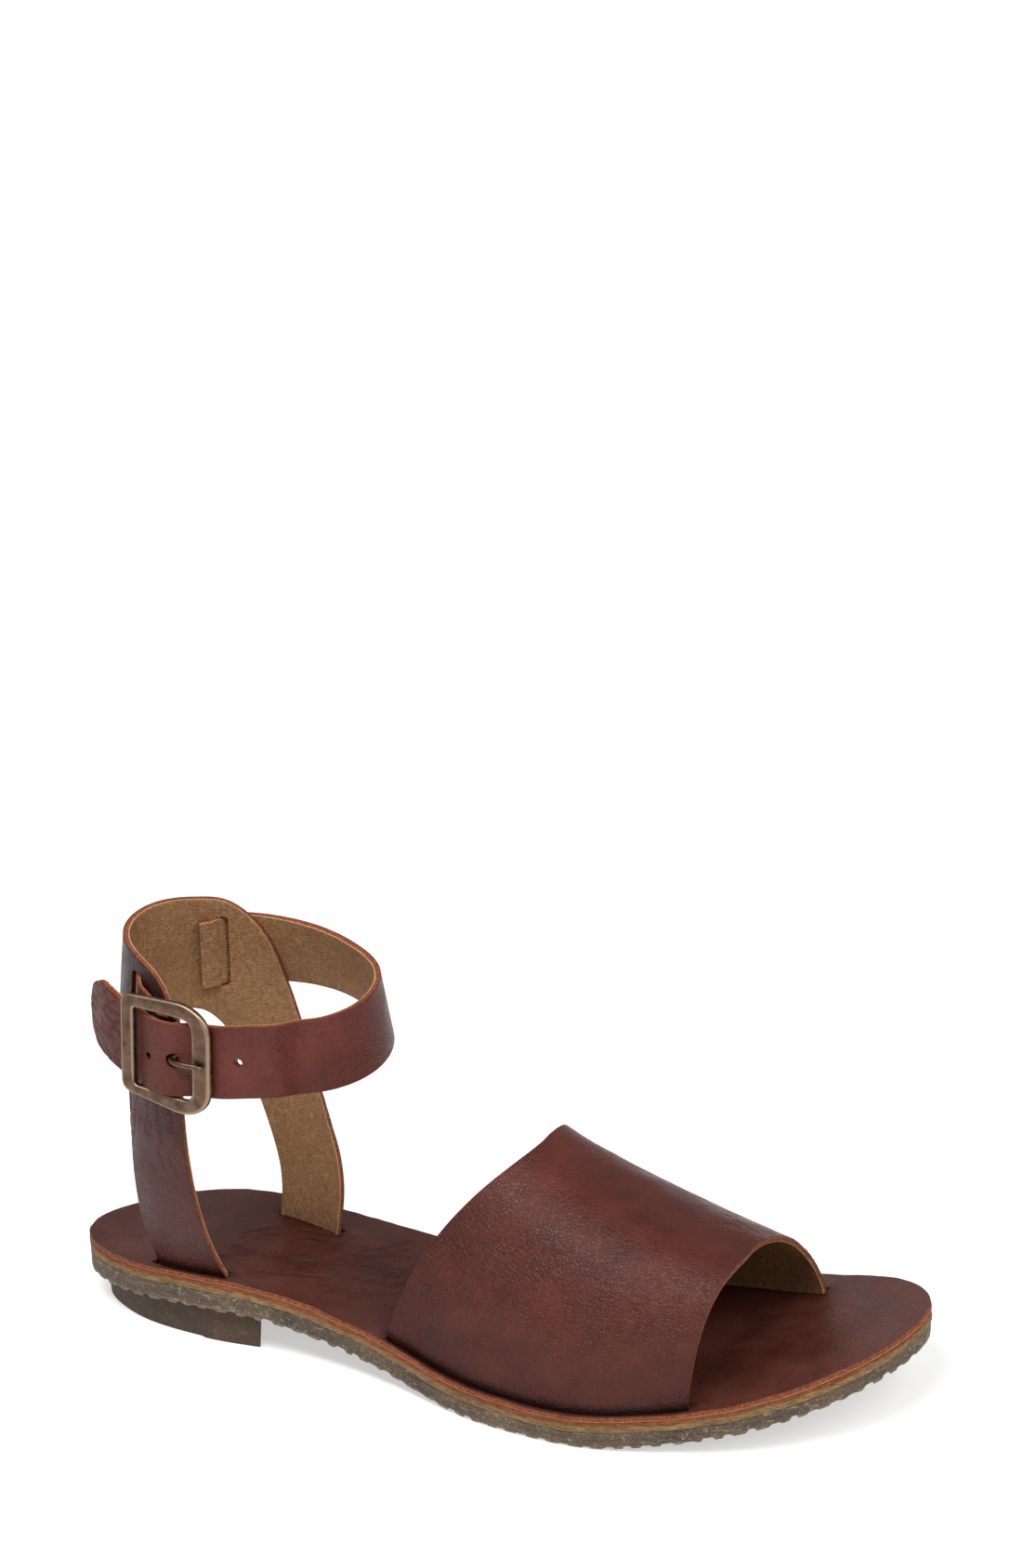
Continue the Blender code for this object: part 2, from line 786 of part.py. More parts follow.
def make_buckle_strap(leather):
    frames = [(point, up, 1.0) for point, up in smooth_frames(anchor_frames(), 2)]
    strap = finish("buckle_strap", band(frames, lambda to_end: ANCHOR_WIDTH / 2.0), leather)
    thicken(strap, ANCHOR_FOLD)
    bm = bmesh.new()
    bmesh.ops.create_cube(bm, size=1.0)
    bmesh.ops.scale(bm, verts=bm.verts[:], vec=(7.0, 9.0, 3.0))
    _, direction, outward, upward = buckle_axes()
    turn = Matrix((direction, outward, upward)).transposed()
    bmesh.ops.rotate(bm, verts=bm.verts[:], matrix=turn)
    bmesh.ops.translate(bm, verts=bm.verts[:], vec=buckle_point(0.6, 1.0, BUCKLE_UP))
    cut(strap, finish("prong_slot", bm, None, smooth=False))
    return strap


def rounded_outline(corners, count):
    """Evenly spaced points round a polygon whose corners are rounded."""
    dense = []
    total = len(corners)
    for k, (along, up, radius) in enumerate(corners):
        corner = Vector((along, up))
        before = Vector(corners[k - 1][:2]) - corner
        after = Vector(corners[(k + 1) % total][:2]) - corner
        reach = min(radius, before.length / 2.0, after.length / 2.0)
        start = corner + before.normalized() * reach
        end = corner + after.normalized() * reach
        for step in range(9):
            t = step / 8.0
            dense.append(start * (1.0 - t) ** 2 + corner * 2.0 * t * (1.0 - t) + end * t * t)
    lengths = [0.0]
    for k, point in enumerate(dense):
        lengths.append(lengths[-1] + (dense[(k + 1) % len(dense)] - point).length)
    points = []
    for n in range(count):
        place = lengths[-1] * n / count
        k = min(bisect.bisect_right(lengths, place) - 1, len(dense) - 1)
        share = (place - lengths[k]) / max(lengths[k + 1] - lengths[k], 1e-6)
        points.append(dense[k].lerp(dense[(k + 1) % len(dense)], share))
    return points


def make_buckle_frame(metal):
    """Bevelled plate with a window, and a bar across the window behind it."""
    bm = bmesh.new()
    loops = []
    for corners in (BUCKLE_OUTER, BUCKLE_WINDOW):
        ring = []
        for point in rounded_outline(corners, BUCKLE_POINTS):
            place = buckle_point(point.x, PLATE_OUT - PLATE_THICKNESS / 2.0, point.y)
            ring.append(bm.verts.new(place))
        edges = []
        for k, vertex in enumerate(ring):
            edges.append(bm.edges.new((vertex, ring[(k + 1) % len(ring)])))
        loops += edges
    bmesh.ops.bridge_loops(bm, edges=loops)
    made = bmesh.ops.extrude_face_region(bm, geom=bm.faces[:])
    raised = [item for item in made["geom"] if isinstance(item, bmesh.types.BMVert)]
    _, _, outward, _ = buckle_axes()
    bmesh.ops.translate(bm, verts=raised, vec=outward * PLATE_THICKNESS)
    raised_set = set(raised)
    rim = [
        edge for edge in bm.edges
        if edge.verts[0] in raised_set and edge.verts[1] in raised_set
        and any(abs(face.normal.dot(outward)) < 0.5 for face in edge.link_faces)
    ]
    bm.normal_update()
    bmesh.ops.bevel(
        bm, geom=rim, offset=PLATE_EDGE, affect="EDGES", segments=1, profile=0.5, material=-1
    )
    frame = finish("buckle_frame", bm, metal, smooth=False)
    bar_rows = (
        (0.0, PLATE_OUT, 13.7),
        (0.0, BAR_OUT + 1.2, 13.0),
        (0.0, BAR_OUT, 12.0),
        (0.0, BAR_OUT, -13.0),
        (0.0, BAR_OUT + 1.2, -14.0),
        (0.0, PLATE_OUT, -15.0),
    )
    points = [buckle_point(along, out, up) for along, out, up in bar_rows]
    _, direction, _, _ = buckle_axes()
    bar = rod(points, [BAR_RADIUS] * len(points), direction)
    join(frame, finish("buckle_bar", bar, None, smooth=False))
    return frame


def rod(points, radii, side):
    """A round wire with closed ends along points in a plane, whose normal is the side."""
    last = len(points) - 1
    rows = []
    for k, point in enumerate(points):
        run = (points[min(k + 1, last)] - points[max(k - 1, 0)]).normalized()
        across = run.cross(side).normalized()
        row = []
        for number in range(ROD_SIDES + 1):
            turn = 2.0 * math.pi * number / ROD_SIDES
            row.append(point + (side * math.cos(turn) + across * math.sin(turn)) * radii[k])
        rows.append(row)
    bm = sheet(rows)
    bmesh.ops.remove_doubles(bm, verts=bm.verts[:], dist=0.001)
    bmesh.ops.holes_fill(bm, edges=bm.edges[:])
    return bm


def make_buckle_prong(metal):
    """Wire that hooks round the bar, comes up through the strap and rests on the plate."""
    radius = BAR_RADIUS + GAP + PRONG_EYE_RADIUS
    rows = []
    for turn in (-150.0, -115.0, -80.0, -45.0, -10.0, 25.0):
        angle = math.radians(turn)
        rows.append((radius * math.cos(angle), BAR_OUT + radius * math.sin(angle)))
    rows = rows[:-1] + smooth_path(rows[-1:] + list(PRONG_ARM), 2)
    points = [buckle_point(along, out, BUCKLE_UP) for along, out in rows]
    radii = []
    for along, out in rows:
        on_eye = out < BAR_OUT + 2.2
        radii.append(PRONG_EYE_RADIUS if on_eye else PRONG_RADIUS)
    radii[-1] = PRONG_RADIUS * 0.75
    _, _, _, upward = buckle_axes()
    return finish("buckle_prong", rod(points, radii, upward), metal)


def build():
    for node in list(bpy.data.objects):
        bpy.data.objects.remove(node, do_unlink=True)
    rubber = material("sole_rubber", (0.14, 0.115, 0.085), 0.75)
    heel_rubber = material("heel_rubber", (0.07, 0.05, 0.035), 0.6)
    board = material("midsole_board", (0.38, 0.23, 0.11), 0.85)
    upper_leather = material("upper_leather", (0.11, 0.035, 0.025), 0.4)
    insole_leather = material("insole_leather", (0.09, 0.03, 0.022), 0.45)
    metal = material("antique_brass", (0.2, 0.15, 0.11), 0.42, 1.0)
    make_outsole(rubber)
    make_heel(heel_rubber)
    make_midsole(board)
    make_insole(insole_leather, make_slots())
    make_vamp(upper_leather)
    slits = [
        make_slit("slit_medial", MEDIAL_SLIT, loop_height(MEDIAL_SLIT), STRAP_WIDTH),
        make_slit("slit_lateral", LATERAL_SLIT, SLIT_HEIGHT_LATERAL, ANCHOR_WIDTH),
    ]
    make_heel_strap(upper_leather, slits)
    make_ankle_strap(upper_leather)
    make_buckle_strap(upper_leather)
    make_buckle_frame(metal)
    make_buckle_prong(metal)


build()
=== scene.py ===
"""Dresses the ankle strap sandal: leather, board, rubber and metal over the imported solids.

Lengths are in millimetres, as in the source of the solids, and are turned to metres
as each mesh is made. Stations run from the heel's back to the toe's tip.
"""

import bisect
import json
import math
import random

import bmesh
import bpy
from mathutils import Matrix, Vector, noise
from mathutils.kdtree import KDTree

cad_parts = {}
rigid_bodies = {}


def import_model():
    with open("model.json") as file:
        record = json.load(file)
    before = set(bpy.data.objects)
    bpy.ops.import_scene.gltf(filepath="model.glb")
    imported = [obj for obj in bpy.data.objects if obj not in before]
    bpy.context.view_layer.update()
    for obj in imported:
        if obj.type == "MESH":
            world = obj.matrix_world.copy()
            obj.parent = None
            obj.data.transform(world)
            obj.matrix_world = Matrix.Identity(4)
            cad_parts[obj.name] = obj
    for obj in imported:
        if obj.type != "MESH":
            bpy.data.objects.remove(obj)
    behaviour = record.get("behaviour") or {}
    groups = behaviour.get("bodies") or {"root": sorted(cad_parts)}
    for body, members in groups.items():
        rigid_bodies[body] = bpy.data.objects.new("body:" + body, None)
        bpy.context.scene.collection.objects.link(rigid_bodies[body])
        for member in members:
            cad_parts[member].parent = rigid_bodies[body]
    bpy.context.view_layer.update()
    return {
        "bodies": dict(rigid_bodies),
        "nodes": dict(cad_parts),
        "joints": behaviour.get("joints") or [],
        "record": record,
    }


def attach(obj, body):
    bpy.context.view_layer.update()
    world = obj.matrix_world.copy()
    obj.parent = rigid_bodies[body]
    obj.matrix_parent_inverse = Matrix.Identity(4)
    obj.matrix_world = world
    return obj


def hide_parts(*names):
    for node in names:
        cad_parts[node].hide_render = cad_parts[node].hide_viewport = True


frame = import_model()

MM = 0.001

# Sizes of the solids, repeated here
SOLE_LENGTH = 262.0
INSOLE_THICKNESS = 1.8
MIDSOLE_THICKNESS = 2.7
RUBBER_AT_HEEL = 6.6
RUBBER_AT_TOE = 5.0
GAP = 0.35
LEATHER = 2.0
STRAP_WIDTH = 22.0
ANCHOR_WIDTH = 20.6
PANEL_TO_STRAP = LEATHER + GAP

# Seen from above, the sole's edge on each side of the middle line
SOLE_OUTLINE = (
    # station, lateral, medial
    (0.0, -0.5, -0.2),
    (7.9, -14.0, 13.9),
    (23.6, -23.4, 24.4),
    (47.2, -28.4, 28.5),
    (78.6, -29.9, 26.9),
    (110.0, -37.3, 27.9),
    (141.5, -48.7, 34.1),
    (172.9, -53.6, 41.2),
    (199.1, -50.2, 40.9),
    (225.3, -42.6, 34.8),
    (246.3, -28.9, 26.7),
    (258.1, -12.7, 15.9),
    (262.0, 5.7, 2.9),
)

# Height of the insole's upper face along the foot
FOOTBED = (
    # station, height
    (0.0, 20.9),
    (52.4, 24.0),
    (94.3, 18.7),
    (131.0, 11.6),
    (150.0, 10.5),
    (172.0, 10.5),
    (209.6, 15.3),
    (262.0, 29.4),
)

# Stations along the sole: where they end, and how much they crowd towards its ends
END_STATION = 0.25
STATION_BLEND = 0.5

# How far the rubber's edge reaches in before its tread begins
NOTCH_REACH = 4.6

# Heel block
HEEL_INSET = 5.8
HEEL_TAPER = 0.8
HEEL_BREAST = 63.5

# Band over the toes. Its two edges are given by their station at the lateral
# foot, the medial foot and the crown, and its height by an arch at two stations.
VAMP_BACK = {"middle": 115.0, "spread": -6.7, "crown": 31.6}
VAMP_FRONT = {"middle": 213.6, "spread": -9.5, "crown": 0.5}
VAMP_ARCH = (
    # station, height over the footbed, crown's shift to the medial side
    (110.0, 72.0, 20.8),
    (210.0, 35.8, -11.9),
)
VAMP_SIDE_POWER = 0.73
VAMP_CROWN_POWER = 1.44
VAMP_INSET_LATERAL = 3.8
VAMP_INSET_MEDIAL = 4.2
FOOT_DEPTH = INSOLE_THICKNESS - 0.2
FOOT_CLEAR = 0.85
SLOT_SWAY_LATERAL = -4.0
SLOT_SWAY_MEDIAL = 0.6

# Barrel that the heel strap lies on: an upright oval that changes with height
BARREL = (
    # height, half length, half width, centre station, centre side
    (10.0, 38.5, 19.0, 52.2, -4.0),
    (22.0, 38.5, 20.3, 53.0, -4.0),
    (40.0, 38.6, 25.2, 54.4, -3.8),
    (60.0, 39.0, 27.4, 55.8, -3.5),
    (80.0, 39.5, 27.9, 56.8, -3.3),
    (103.0, 39.0, 26.9, 57.5, -3.0),
    (125.0, 36.6, 24.6, 57.4, -3.0),
    (145.0, 34.4, 22.4, 56.8, -3.0),
)

# Heel strap: an inverted U. Each row crosses the strip once, from its front
# edge to its rear edge, as an angle round the barrel and a height.
HEEL_STRAP = (
    # front angle, front height, rear angle, rear height
    (272.6, 21.6, 237.8, 20.4),
    (268.0, 28.5, 232.0, 28.2),
    (262.6, 41.0, 223.2, 41.4),
    (257.5, 56.0, 218.6, 55.4),
    (254.2, 73.0, 217.6, 68.5),
    (252.4, 90.0, 217.0, 79.5),
    (249.4, 104.5, 212.0, 86.5),
    (245.0, 114.0, 203.0, 90.5),
    (236.0, 119.8, 192.0, 92.3),
    (222.0, 122.6, 182.0, 93.0),
    (205.0, 124.0, 172.0, 93.0),
    (187.0, 125.2, 162.0, 92.4),
    (168.0, 126.4, 152.0, 91.5),
    (149.0, 127.0, 143.0, 90.4),
    (131.0, 126.4, 134.0, 89.9),
    (115.0, 124.8, 126.5, 88.3),
    (103.0, 119.0, 119.9, 84.5),
    (95.0, 110.6, 113.6, 78.5),
    (89.4, 99.2, 108.4, 70.0),
    (82.9, 85.1, 102.2, 60.0),
    (75.0, 68.0, 96.4, 50.2),
    (67.4, 55.1, 91.6, 41.6),
    (60.0, 44.8, 88.5, 34.8),
    (55.2, 34.8, 86.9, 29.4),
    (54.0, 26.2, 86.4, 24.6),
    (53.8, 21.6, 86.3, 20.9),
)

# Plane of the ankle loop: height at its centre and rise to the medial side
LOOP_CENTRE = (59.5, -3.0, 103.8)
LOOP_RISE = (0.02, 0.16)
MEDIAL_SLIT = 118.0
LATERAL_SLIT = 223.5
SLIT_HEIGHT_LATERAL = 107.5
WALL_REACH = 8.0

# Ankle strap round the barrel, from its end inside the medial slit to the buckle
LOOP_ROUTE = (
    # angle, distance outside the barrel's wall, lift off the loop's plane, inward lean
    (131.5, -2.45, 1.4, 0.09),
    (127.5, -2.45, 1.4, 0.09),
    (123.4, -2.45, 1.4, 0.09),
    (118.0, 0.0, 1.2, 0.09),
    (112.6, 2.45, 1.0, 0.09),
    (108.0, 2.5, 0.8, 0.1),
    (100.0, 2.4, 0.5, 0.12),
    (90.0, 2.3, 0.3, 0.17),
    (78.0, 1.9, 0.3, 0.23),
    (66.0, 1.4, 0.3, 0.26),
    (54.0, 1.0, 0.1, 0.26),
    (42.0, 0.9, -0.2, 0.23),
    (30.0, 1.1, -0.4, 0.19),
    (18.0, 1.6, -0.6, 0.16),
    (6.0, 1.9, -0.9, 0.14),
    (-6.0, 2.0, -1.3, 0.14),
    (-18.0, 2.0, -1.6, 0.14),
    (-30.0, 2.0, -1.6, 0.14),
    (-42.0, 2.1, -1.3, 0.13),
    (-54.0, 2.3, -0.5, 0.11),
)

# Ankle strap through the buckle, in the buckle's own directions
BUCKLE_ROUTE = (
    # along, out, up
    (32.0, -4.6, 1.7),
    (24.5, -1.1, 0.9),
    (18.0, 0.9, 0.0),
    (13.5, 1.1, -0.6),
    (9.2, 1.3, -1.0),
    (6.2, 2.7, -1.1),
    (3.0, 4.6, -1.1),
    (-0.5, 5.05, -1.1),
    (-4.2, 4.6, -1.0),
    (-7.8, 2.95, -0.9),
    (-10.8, 1.3, -0.7),
    (-15.0, 0.9, 0.3),
    (-19.5, 0.0, 1.6),
    (-25.2, -1.9, 3.6),
    (-31.8, -5.3, 5.4),
)
TIP_LENGTH = 8.0
TIP_BLUNT = 0.18
STRAP_HOLES = (
    # along, up, radius
    (22.8, 0.8, 1.2),
    (13.4, -0.6, 1.2),
    (-5.2, -1.5, 1.1),
)
PRONG_HOLE = {"along": 2.2, "radius": 2.15}

# Short strap that holds the buckle: round the barrel, then round the bar
ANCHOR_ROUTE = (
    # angle, distance outside the barrel's wall, height
    (210.5, -2.1, 109.4),
    (214.0, -2.1, 109.2),
    (217.6, -2.1, 108.8),
    (223.5, 0.0, 107.6),
    (229.4, 2.1, 106.2),
    (234.0, 2.4, 104.8),
    (239.0, 2.5, 103.2),
)
ANCHOR_BAR_ROUTE = (
    # along, out
    (-6.5, -1.6),
    (-3.0, -1.05),
)
ANCHOR_FOLD = 1.3
ANCHOR_FOLD_TURNS = (-90.0, -55.0, -20.0, 20.0, 55.0, 90.0)
ANCHOR_FLAP = ((-3.2, 2.6), (-5.5, 1.5), (-7.6, 0.4))

# Buckle, in a plane that touches the loop at this angle
BUCKLE_ANGLE = 252.5
PLATE_OUT = 3.9
PLATE_THICKNESS = 2.2
BAR_OUT = 1.0
BAR_RADIUS = 1.0
BUCKLE_UP = -1.1
BUCKLE_LIFT = 1.0
BUCKLE_OUTER = (
    # along, up, corner radius
    (-15.4, 16.0, 3.0),
    (8.0, 16.8, 8.0),
    (15.7, 11.8, 12.0),
    (15.7, -13.2, 12.0),
    (8.0, -18.3, 9.0),
    (-15.4, -14.0, 3.0),
)
BUCKLE_WINDOW = (
    # along, up, corner radius
    (-10.9, 12.3, 1.2),
    (9.3, 11.6, 3.4),
    (9.3, -13.2, 3.4),
    (-10.9, -11.8, 1.2),
)
FRAME_SECTION = (
    # share from the outer edge to the window, share of the thickness, 1 where it is rubbed bright
    (0.0, 0.3, 0.0),
    (0.0, 0.62, 0.0),
    (0.04, 0.84, 1.0),
    (0.11, 0.96, 1.0),
    (0.22, 1.0, 0.0),
    (0.5, 1.03, 0.0),
    (0.78, 1.0, 0.0),
    (0.89, 0.96, 1.0),
    (0.96, 0.84, 1.0),
    (1.0, 0.62, 0.0),
    (1.0, 0.3, 0.0),
    (0.95, 0.08, 0.0),
    (0.85, 0.0, 0.0),
    (0.5, 0.0, 0.0),
    (0.15, 0.0, 0.0),
    (0.05, 0.08, 0.0),
    (0.0, 0.3, 0.0),
)
BAR_PATH = (
    # out, up
    (PLATE_OUT, 13.7),
    (BAR_OUT + 1.2, 13.0),
    (BAR_OUT, 12.0),
    (BAR_OUT, 4.0),
    (BAR_OUT, -5.0),
    (BAR_OUT, -13.0),
    (BAR_OUT + 1.2, -14.0),
    (PLATE_OUT, -15.0),
)

# Prong, in the buckle's own directions
PRONG_RADIUS = 0.9
PRONG_EYE_RADIUS = 0.6
PRONG_EYE_TURNS = (-150.0, -115.0, -80.0, -45.0, -10.0, 25.0)
PRONG_SLOT = (7.0, 9.0, 3.0)
PRONG_ARM = (
    # along, out
    (1.9, 4.1),
    (3.4, 5.7),
    (5.4, 6.7),
    (8.0, 6.75),
    (11.0, 6.4),
    (14.2, 6.3),
)

# Fineness of the dressed pieces, and their rounded rims
STRAP_STEPS = 8
SOLE_FINE = 420
HEEL_FINE = 60
VAMP_AROUND = 190
VAMP_ALONG = 130
FOOT_STEPS = 3
FRAME_STEPS = 160
CORNER_STEPS = 8
RIM = 0.42
ANCHOR_RIM = 0.28
MERGE = 0.0005

# Shape of the dressed toe band: its crown is eased back, its medial front foot tucked in
CROWN_ANGLE = 1.95
CROWN_SPREAD = 0.22
CROWN_BACK = 1.3
CROWN_FADE = 3.0
TUCK_ANGLES = (1.9, 3.14)
TUCK_SHARES = (0.15, 1.0)
FOOT_TUCK = 8.0
FOOT_FORWARD = 2.4

# Slits, slots and holes of the dressed leather
MEDIAL_SLIT_HALF = 1.9
MEDIAL_SLIT_LIFT = 1.2
LATERAL_SLIT_HALF = 2.2
SLIT_CLEAR = 0.8
SLIT_CORNER = 1.2
SLIT_REACH = 12.0
SLIT_WALL_DEPTH = 0.4
PUNCH_OUT = 3.0
PUNCH_REACH = 14.0
PUNCH_WALL_DEPTH = 0.35
SLOT_OPEN = 1.3
SLOT_ABOVE = 2.0
SLOT_DROP = 6.0
STRAP_SLOT_HEIGHTS = (27.0, 15.0)
TAB_CUT = 1.0

# Soft unevenness of the leather
VAMP_WAVES = (
    # size of the bumps, seed, height
    (17.0, 3.0, 0.22),
    (7.0, 8.0, 0.12),
)
HEEL_STRAP_WAVES = ((13.0, 4.0, 0.16),)
ANKLE_STRAP_WAVES = ((16.0, 6.0, 0.1), (5.0, 2.0, 0.05))
INSOLE_WAVES = ((15.0, 7.0, 0.12), (5.0, 1.0, 0.05))

# Creases and strokes pressed into it: size, seed, sharpness and stretch, then their depth
VAMP_CREASES = (3.4, 5.0, 6.0, (0.45, 1.0, 1.2))
VAMP_CREASE_DEPTH = 0.24
LEG_CREASES = (4.2, 9.0, 5.0, (1.0, 1.0, 0.7))
LEG_CREASE_DEPTH = 0.22
STROKES = (3.2, 14.0, 5.0)
STROKE_DEPTH = 0.28
WRINKLE_STEP = 1.3

# Heights where creases and painted shade come in, each from none to full
VAMP_FREE = (0.0, 8.0)
VAMP_FOOT_SHADE = (4.2, 0.8)
VAMP_SIDE_SHADE = (40.0, 0.0)
LEG_FREE = (28.0, 38.0)
LEG_CREASE_TOP = (96.0, 82.0)
LEG_CREASE_FOOT = (48.0, 64.0)
LEG_FOOT_SHADE = (3.6, 0.6)
PANEL_SHADE = (90.0, 104.0)
STROKES_ALONG = (-15.0, -18.0)

# How dark the painted shade is, and how far the painted shade of a slot reaches over the insole
VAMP_SIDE_DARK = 0.5
LEG_DARK = 0.42
PANEL_DARK = 0.4
SLOT_SHADE_OUTSIDE = 3.4
SLOT_SHADE_INSIDE = 2.6

# Edges of the dressed sole
EDGE_WOBBLE = 0.45
RUBBER_SPREAD = 0.1
RUBBER_LIFT = 0.6 * GAP
RUBBER_SIDE = (
    # share of the rubber's depth, how far it is set in from its edge
    (0.0, 0.3),
    (0.06, 0.0),
    (0.3, 0.0),
    (0.44, 0.12),
    (0.5, 0.3),
    (0.56, 0.12),
    (0.7, 0.0),
    (0.86, 0.1),
    (0.95, 0.35),
    (1.0, 0.8),
)
BITE_MARGIN = 4.0
BITE_HALF_WIDTH = (1.3, 2.1)
BITE_DEPTH = (0.7, 1.5)
BITE_SPACING = (5.2, 7.0)
TREAD_CYCLE = 6.4
TREAD_DEPTH = 0.55
FLOOR_WEAR = 0.15
HEEL_SPREAD = 1.2
HEEL_LIFT = 0.2
BREAST_SLANT = 18.0

# Colours on the screen, from 0 to 255. Shades are deep, middle and light.
# Near black of the painted shade in creases, by the slots and on shaded sides
PAINTED_SHADE_DARK = (17, 7, 6)
UPPER_SHADES = ((64, 25, 18), (80, 32, 24), (95, 43, 33))
FOOTBED_SHADES = ((56, 25, 18), (74, 36, 28), (92, 50, 41))
FLESH_SHADES = ((104, 73, 47), (138, 100, 67), (166, 130, 92))
EDGE_LIGHT = (164, 104, 68)
EDGE_SHADES = ((74, 34, 20), (124, 64, 38), EDGE_LIGHT)
PALE_LINE = (176, 140, 100)
BOARD_SHADES = ((86, 62, 40), (122, 94, 62), (154, 124, 86))
BOARD_TOP_SHADES = ((74, 38, 22), (112, 62, 36), (140, 84, 50))
BOARD_FLECK = (164, 134, 94)
BOARD_STAIN = (84, 56, 36)
SOLE_SHADES = ((56, 46, 38), (84, 69, 56), (99, 83, 68))
SOLE_SCUFF = (158, 138, 112)
HEEL_SHADES = ((50, 37, 27), (68, 52, 40), (84, 66, 51))
HEEL_SCUFF = (120, 100, 76)
BRASS_SHADES = ((70, 52, 42), (104, 82, 68), (132, 108, 92))
BRASS_DARK = (52, 38, 30)
BRASS_BRIGHT = (176, 150, 126)

# The photograph's camera: angles in radians, distances in metres, lens and sensor in millimetres
CAMERA_TURN = 0.349
CAMERA_RISE = 0.491
CAMERA_ROLL = -0.031
CAMERA_DISTANCE = 1.4
CAMERA_AIM = (0.0, 0.0062, 0.030)
CAMERA_LENS = 108.39
CAMERA_SENSOR = 36.0
CAMERA_SHIFT = (0.00876, 0.2987)

# Studio light, placed in metres
WHITE = (1.0, 1.0, 1.0, 1.0)
WORLD_LIGHT = 0.35
FLOOR_HALF = 6000.0
FLOOR_GLOW = 0.5
FLOOR_SHADE = (0.62, 0.62, 0.62, 1.0)
SUN_LIGHT = 1.75
SUN_SPREAD = 0.8
SUN_FROM = (0.85, -0.35, 0.95)
SHEEN_LIGHT = 10.0
SHEEN_SIZE = (0.85, 0.26)
SHEEN_PLACE = (-0.2, -0.5, 1.0)
SHEEN_AIM = (0.03, 0.0, 0.04)


def smooth_table(rows, column):
    """A smooth function of a table's first column, through one of its other columns."""
    places = [row[0] for row in rows]
    values = [row[column] for row in rows]
    last = len(rows) - 1
    chords = [(values[k + 1] - values[k]) / (places[k + 1] - places[k]) for k in range(last)]
    slopes = [chords[0]]
    for k in range(1, last):
        before = places[k] - places[k - 1]
        after = places[k + 1] - places[k]
        slopes.append((chords[k - 1] * after + chords[k] * before) / (before + after))
    slopes.append(chords[-1])

    def value(place):
        k = min(max(bisect.bisect_right(places, place) - 1, 0), last - 1)
        width = places[k + 1] - places[k]
        t = clamp((place - places[k]) / width)
        rise = eased(t)
        start = t * (1.0 - t) ** 2 * width * slopes[k]
        end = t * t * (t - 1.0) * width * slopes[k + 1]
        return values[k] + (values[k + 1] - values[k]) * rise + start + end

    return value


def smooth_path(rows, steps):
    """Points along a smooth curve through the rows, with the given steps between rows."""
    points = []
    last = len(rows) - 1
    for k in range(last):
        before = rows[max(k - 1, 0)]
        start = rows[k]
        end = rows[k + 1]
        after = rows[min(k + 2, last)]
        for step in range(steps):
            t = step / steps
            point = []
            for a, b, c, d in zip(before, start, end, after):
                bend = (2.0 * a - 5.0 * b + 4.0 * c - d) * t * t
                twist = (3.0 * b - a - 3.0 * c + d) * t ** 3
                point.append(0.5 * (2.0 * b + (c - a) * t + bend + twist))
            points.append(tuple(point))
    points.append(tuple(rows[last]))
    return points


def clamp(value):
    """The value, held between 0 and 1."""
    return min(max(value, 0.0), 1.0)


def share_between(value, start, end):
    """How far a value is on its way from the start to the end, from 0 to 1."""
    return clamp((value - start) / (end - start))


def eased(share):
    """A share from 0 to 1 that starts and ends gently."""
    return share * share * (3.0 - 2.0 * share)


def round_station(station):
    """The outline's place as an angle, so that its round ends come out round."""
    return math.acos(1.0 - 2.0 * clamp(station / SOLE_LENGTH))


ROUND_OUTLINE = [(round_station(row[0]), row[1], row[2]) for row in SOLE_OUTLINE]
LATERAL_BY_ANGLE = smooth_table(ROUND_OUTLINE, 1)
MEDIAL_BY_ANGLE = smooth_table(ROUND_OUTLINE, 2)
FOOTBED_HEIGHT = smooth_table(FOOTBED, 1)
BARREL_LENGTH = smooth_table(BARREL, 1)
BARREL_WIDTH = smooth_table(BARREL, 2)
BARREL_STATION = smooth_table(BARREL, 3)
BARREL_SIDE = smooth_table(BARREL, 4)
SIDES = [row[1] for row in SOLE_OUTLINE] + [row[2] for row in SOLE_OUTLINE]
CENTRE = Vector((SOLE_LENGTH / 2.0, (min(SIDES) + max(SIDES)) / 2.0, 0.0))


def lateral_edge(station):
    return LATERAL_BY_ANGLE(round_station(station))


def medial_edge(station):
    return MEDIAL_BY_ANGLE(round_station(station))


def insole_bottom(station):
    return FOOTBED_HEIGHT(station) - INSOLE_THICKNESS


def midsole_top(station):
    return insole_bottom(station) - GAP


def midsole_bottom(station):
    return midsole_top(station) - MIDSOLE_THICKNESS


def rubber_top(station):
    return midsole_bottom(station) - GAP


def rubber_bottom(station):
    share = station / SOLE_LENGTH
    rubber = RUBBER_AT_HEEL + (RUBBER_AT_TOE - RUBBER_AT_HEEL) * share
    return max(rubber_top(station) - rubber, 0.0)


def vamp_point(angle, share):
    """Middle of the toe band's wall. The angle runs from the lateral foot over to the medial."""
    lean = math.cos(angle)
    lift = math.sin(angle)
    edges = []
    for edge in (VAMP_BACK, VAMP_FRONT):
        edges.append(edge["middle"] + edge["spread"] * lean + edge["crown"] * lift ** 2)
    place = edges[0] + (edges[1] - edges[0]) * share
    (back, back_height, back_shift), (front, front_height, front_shift) = VAMP_ARCH
    forward = (place - back) / (front - back)
    height = back_height + (front_height - back_height) * forward
    shift = back_shift + (front_shift - back_shift) * forward
    low = lateral_edge(place) + VAMP_INSET_LATERAL
    high = medial_edge(place) - VAMP_INSET_MEDIAL
    side = math.copysign(abs(lean) ** VAMP_SIDE_POWER, lean)
    across = (low + high) / 2.0 - (high - low) / 2.0 * side + shift * lift ** 2
    rise = height * abs(lift) ** VAMP_CROWN_POWER
    return Vector((place, across, FOOTBED_HEIGHT(place) + rise))


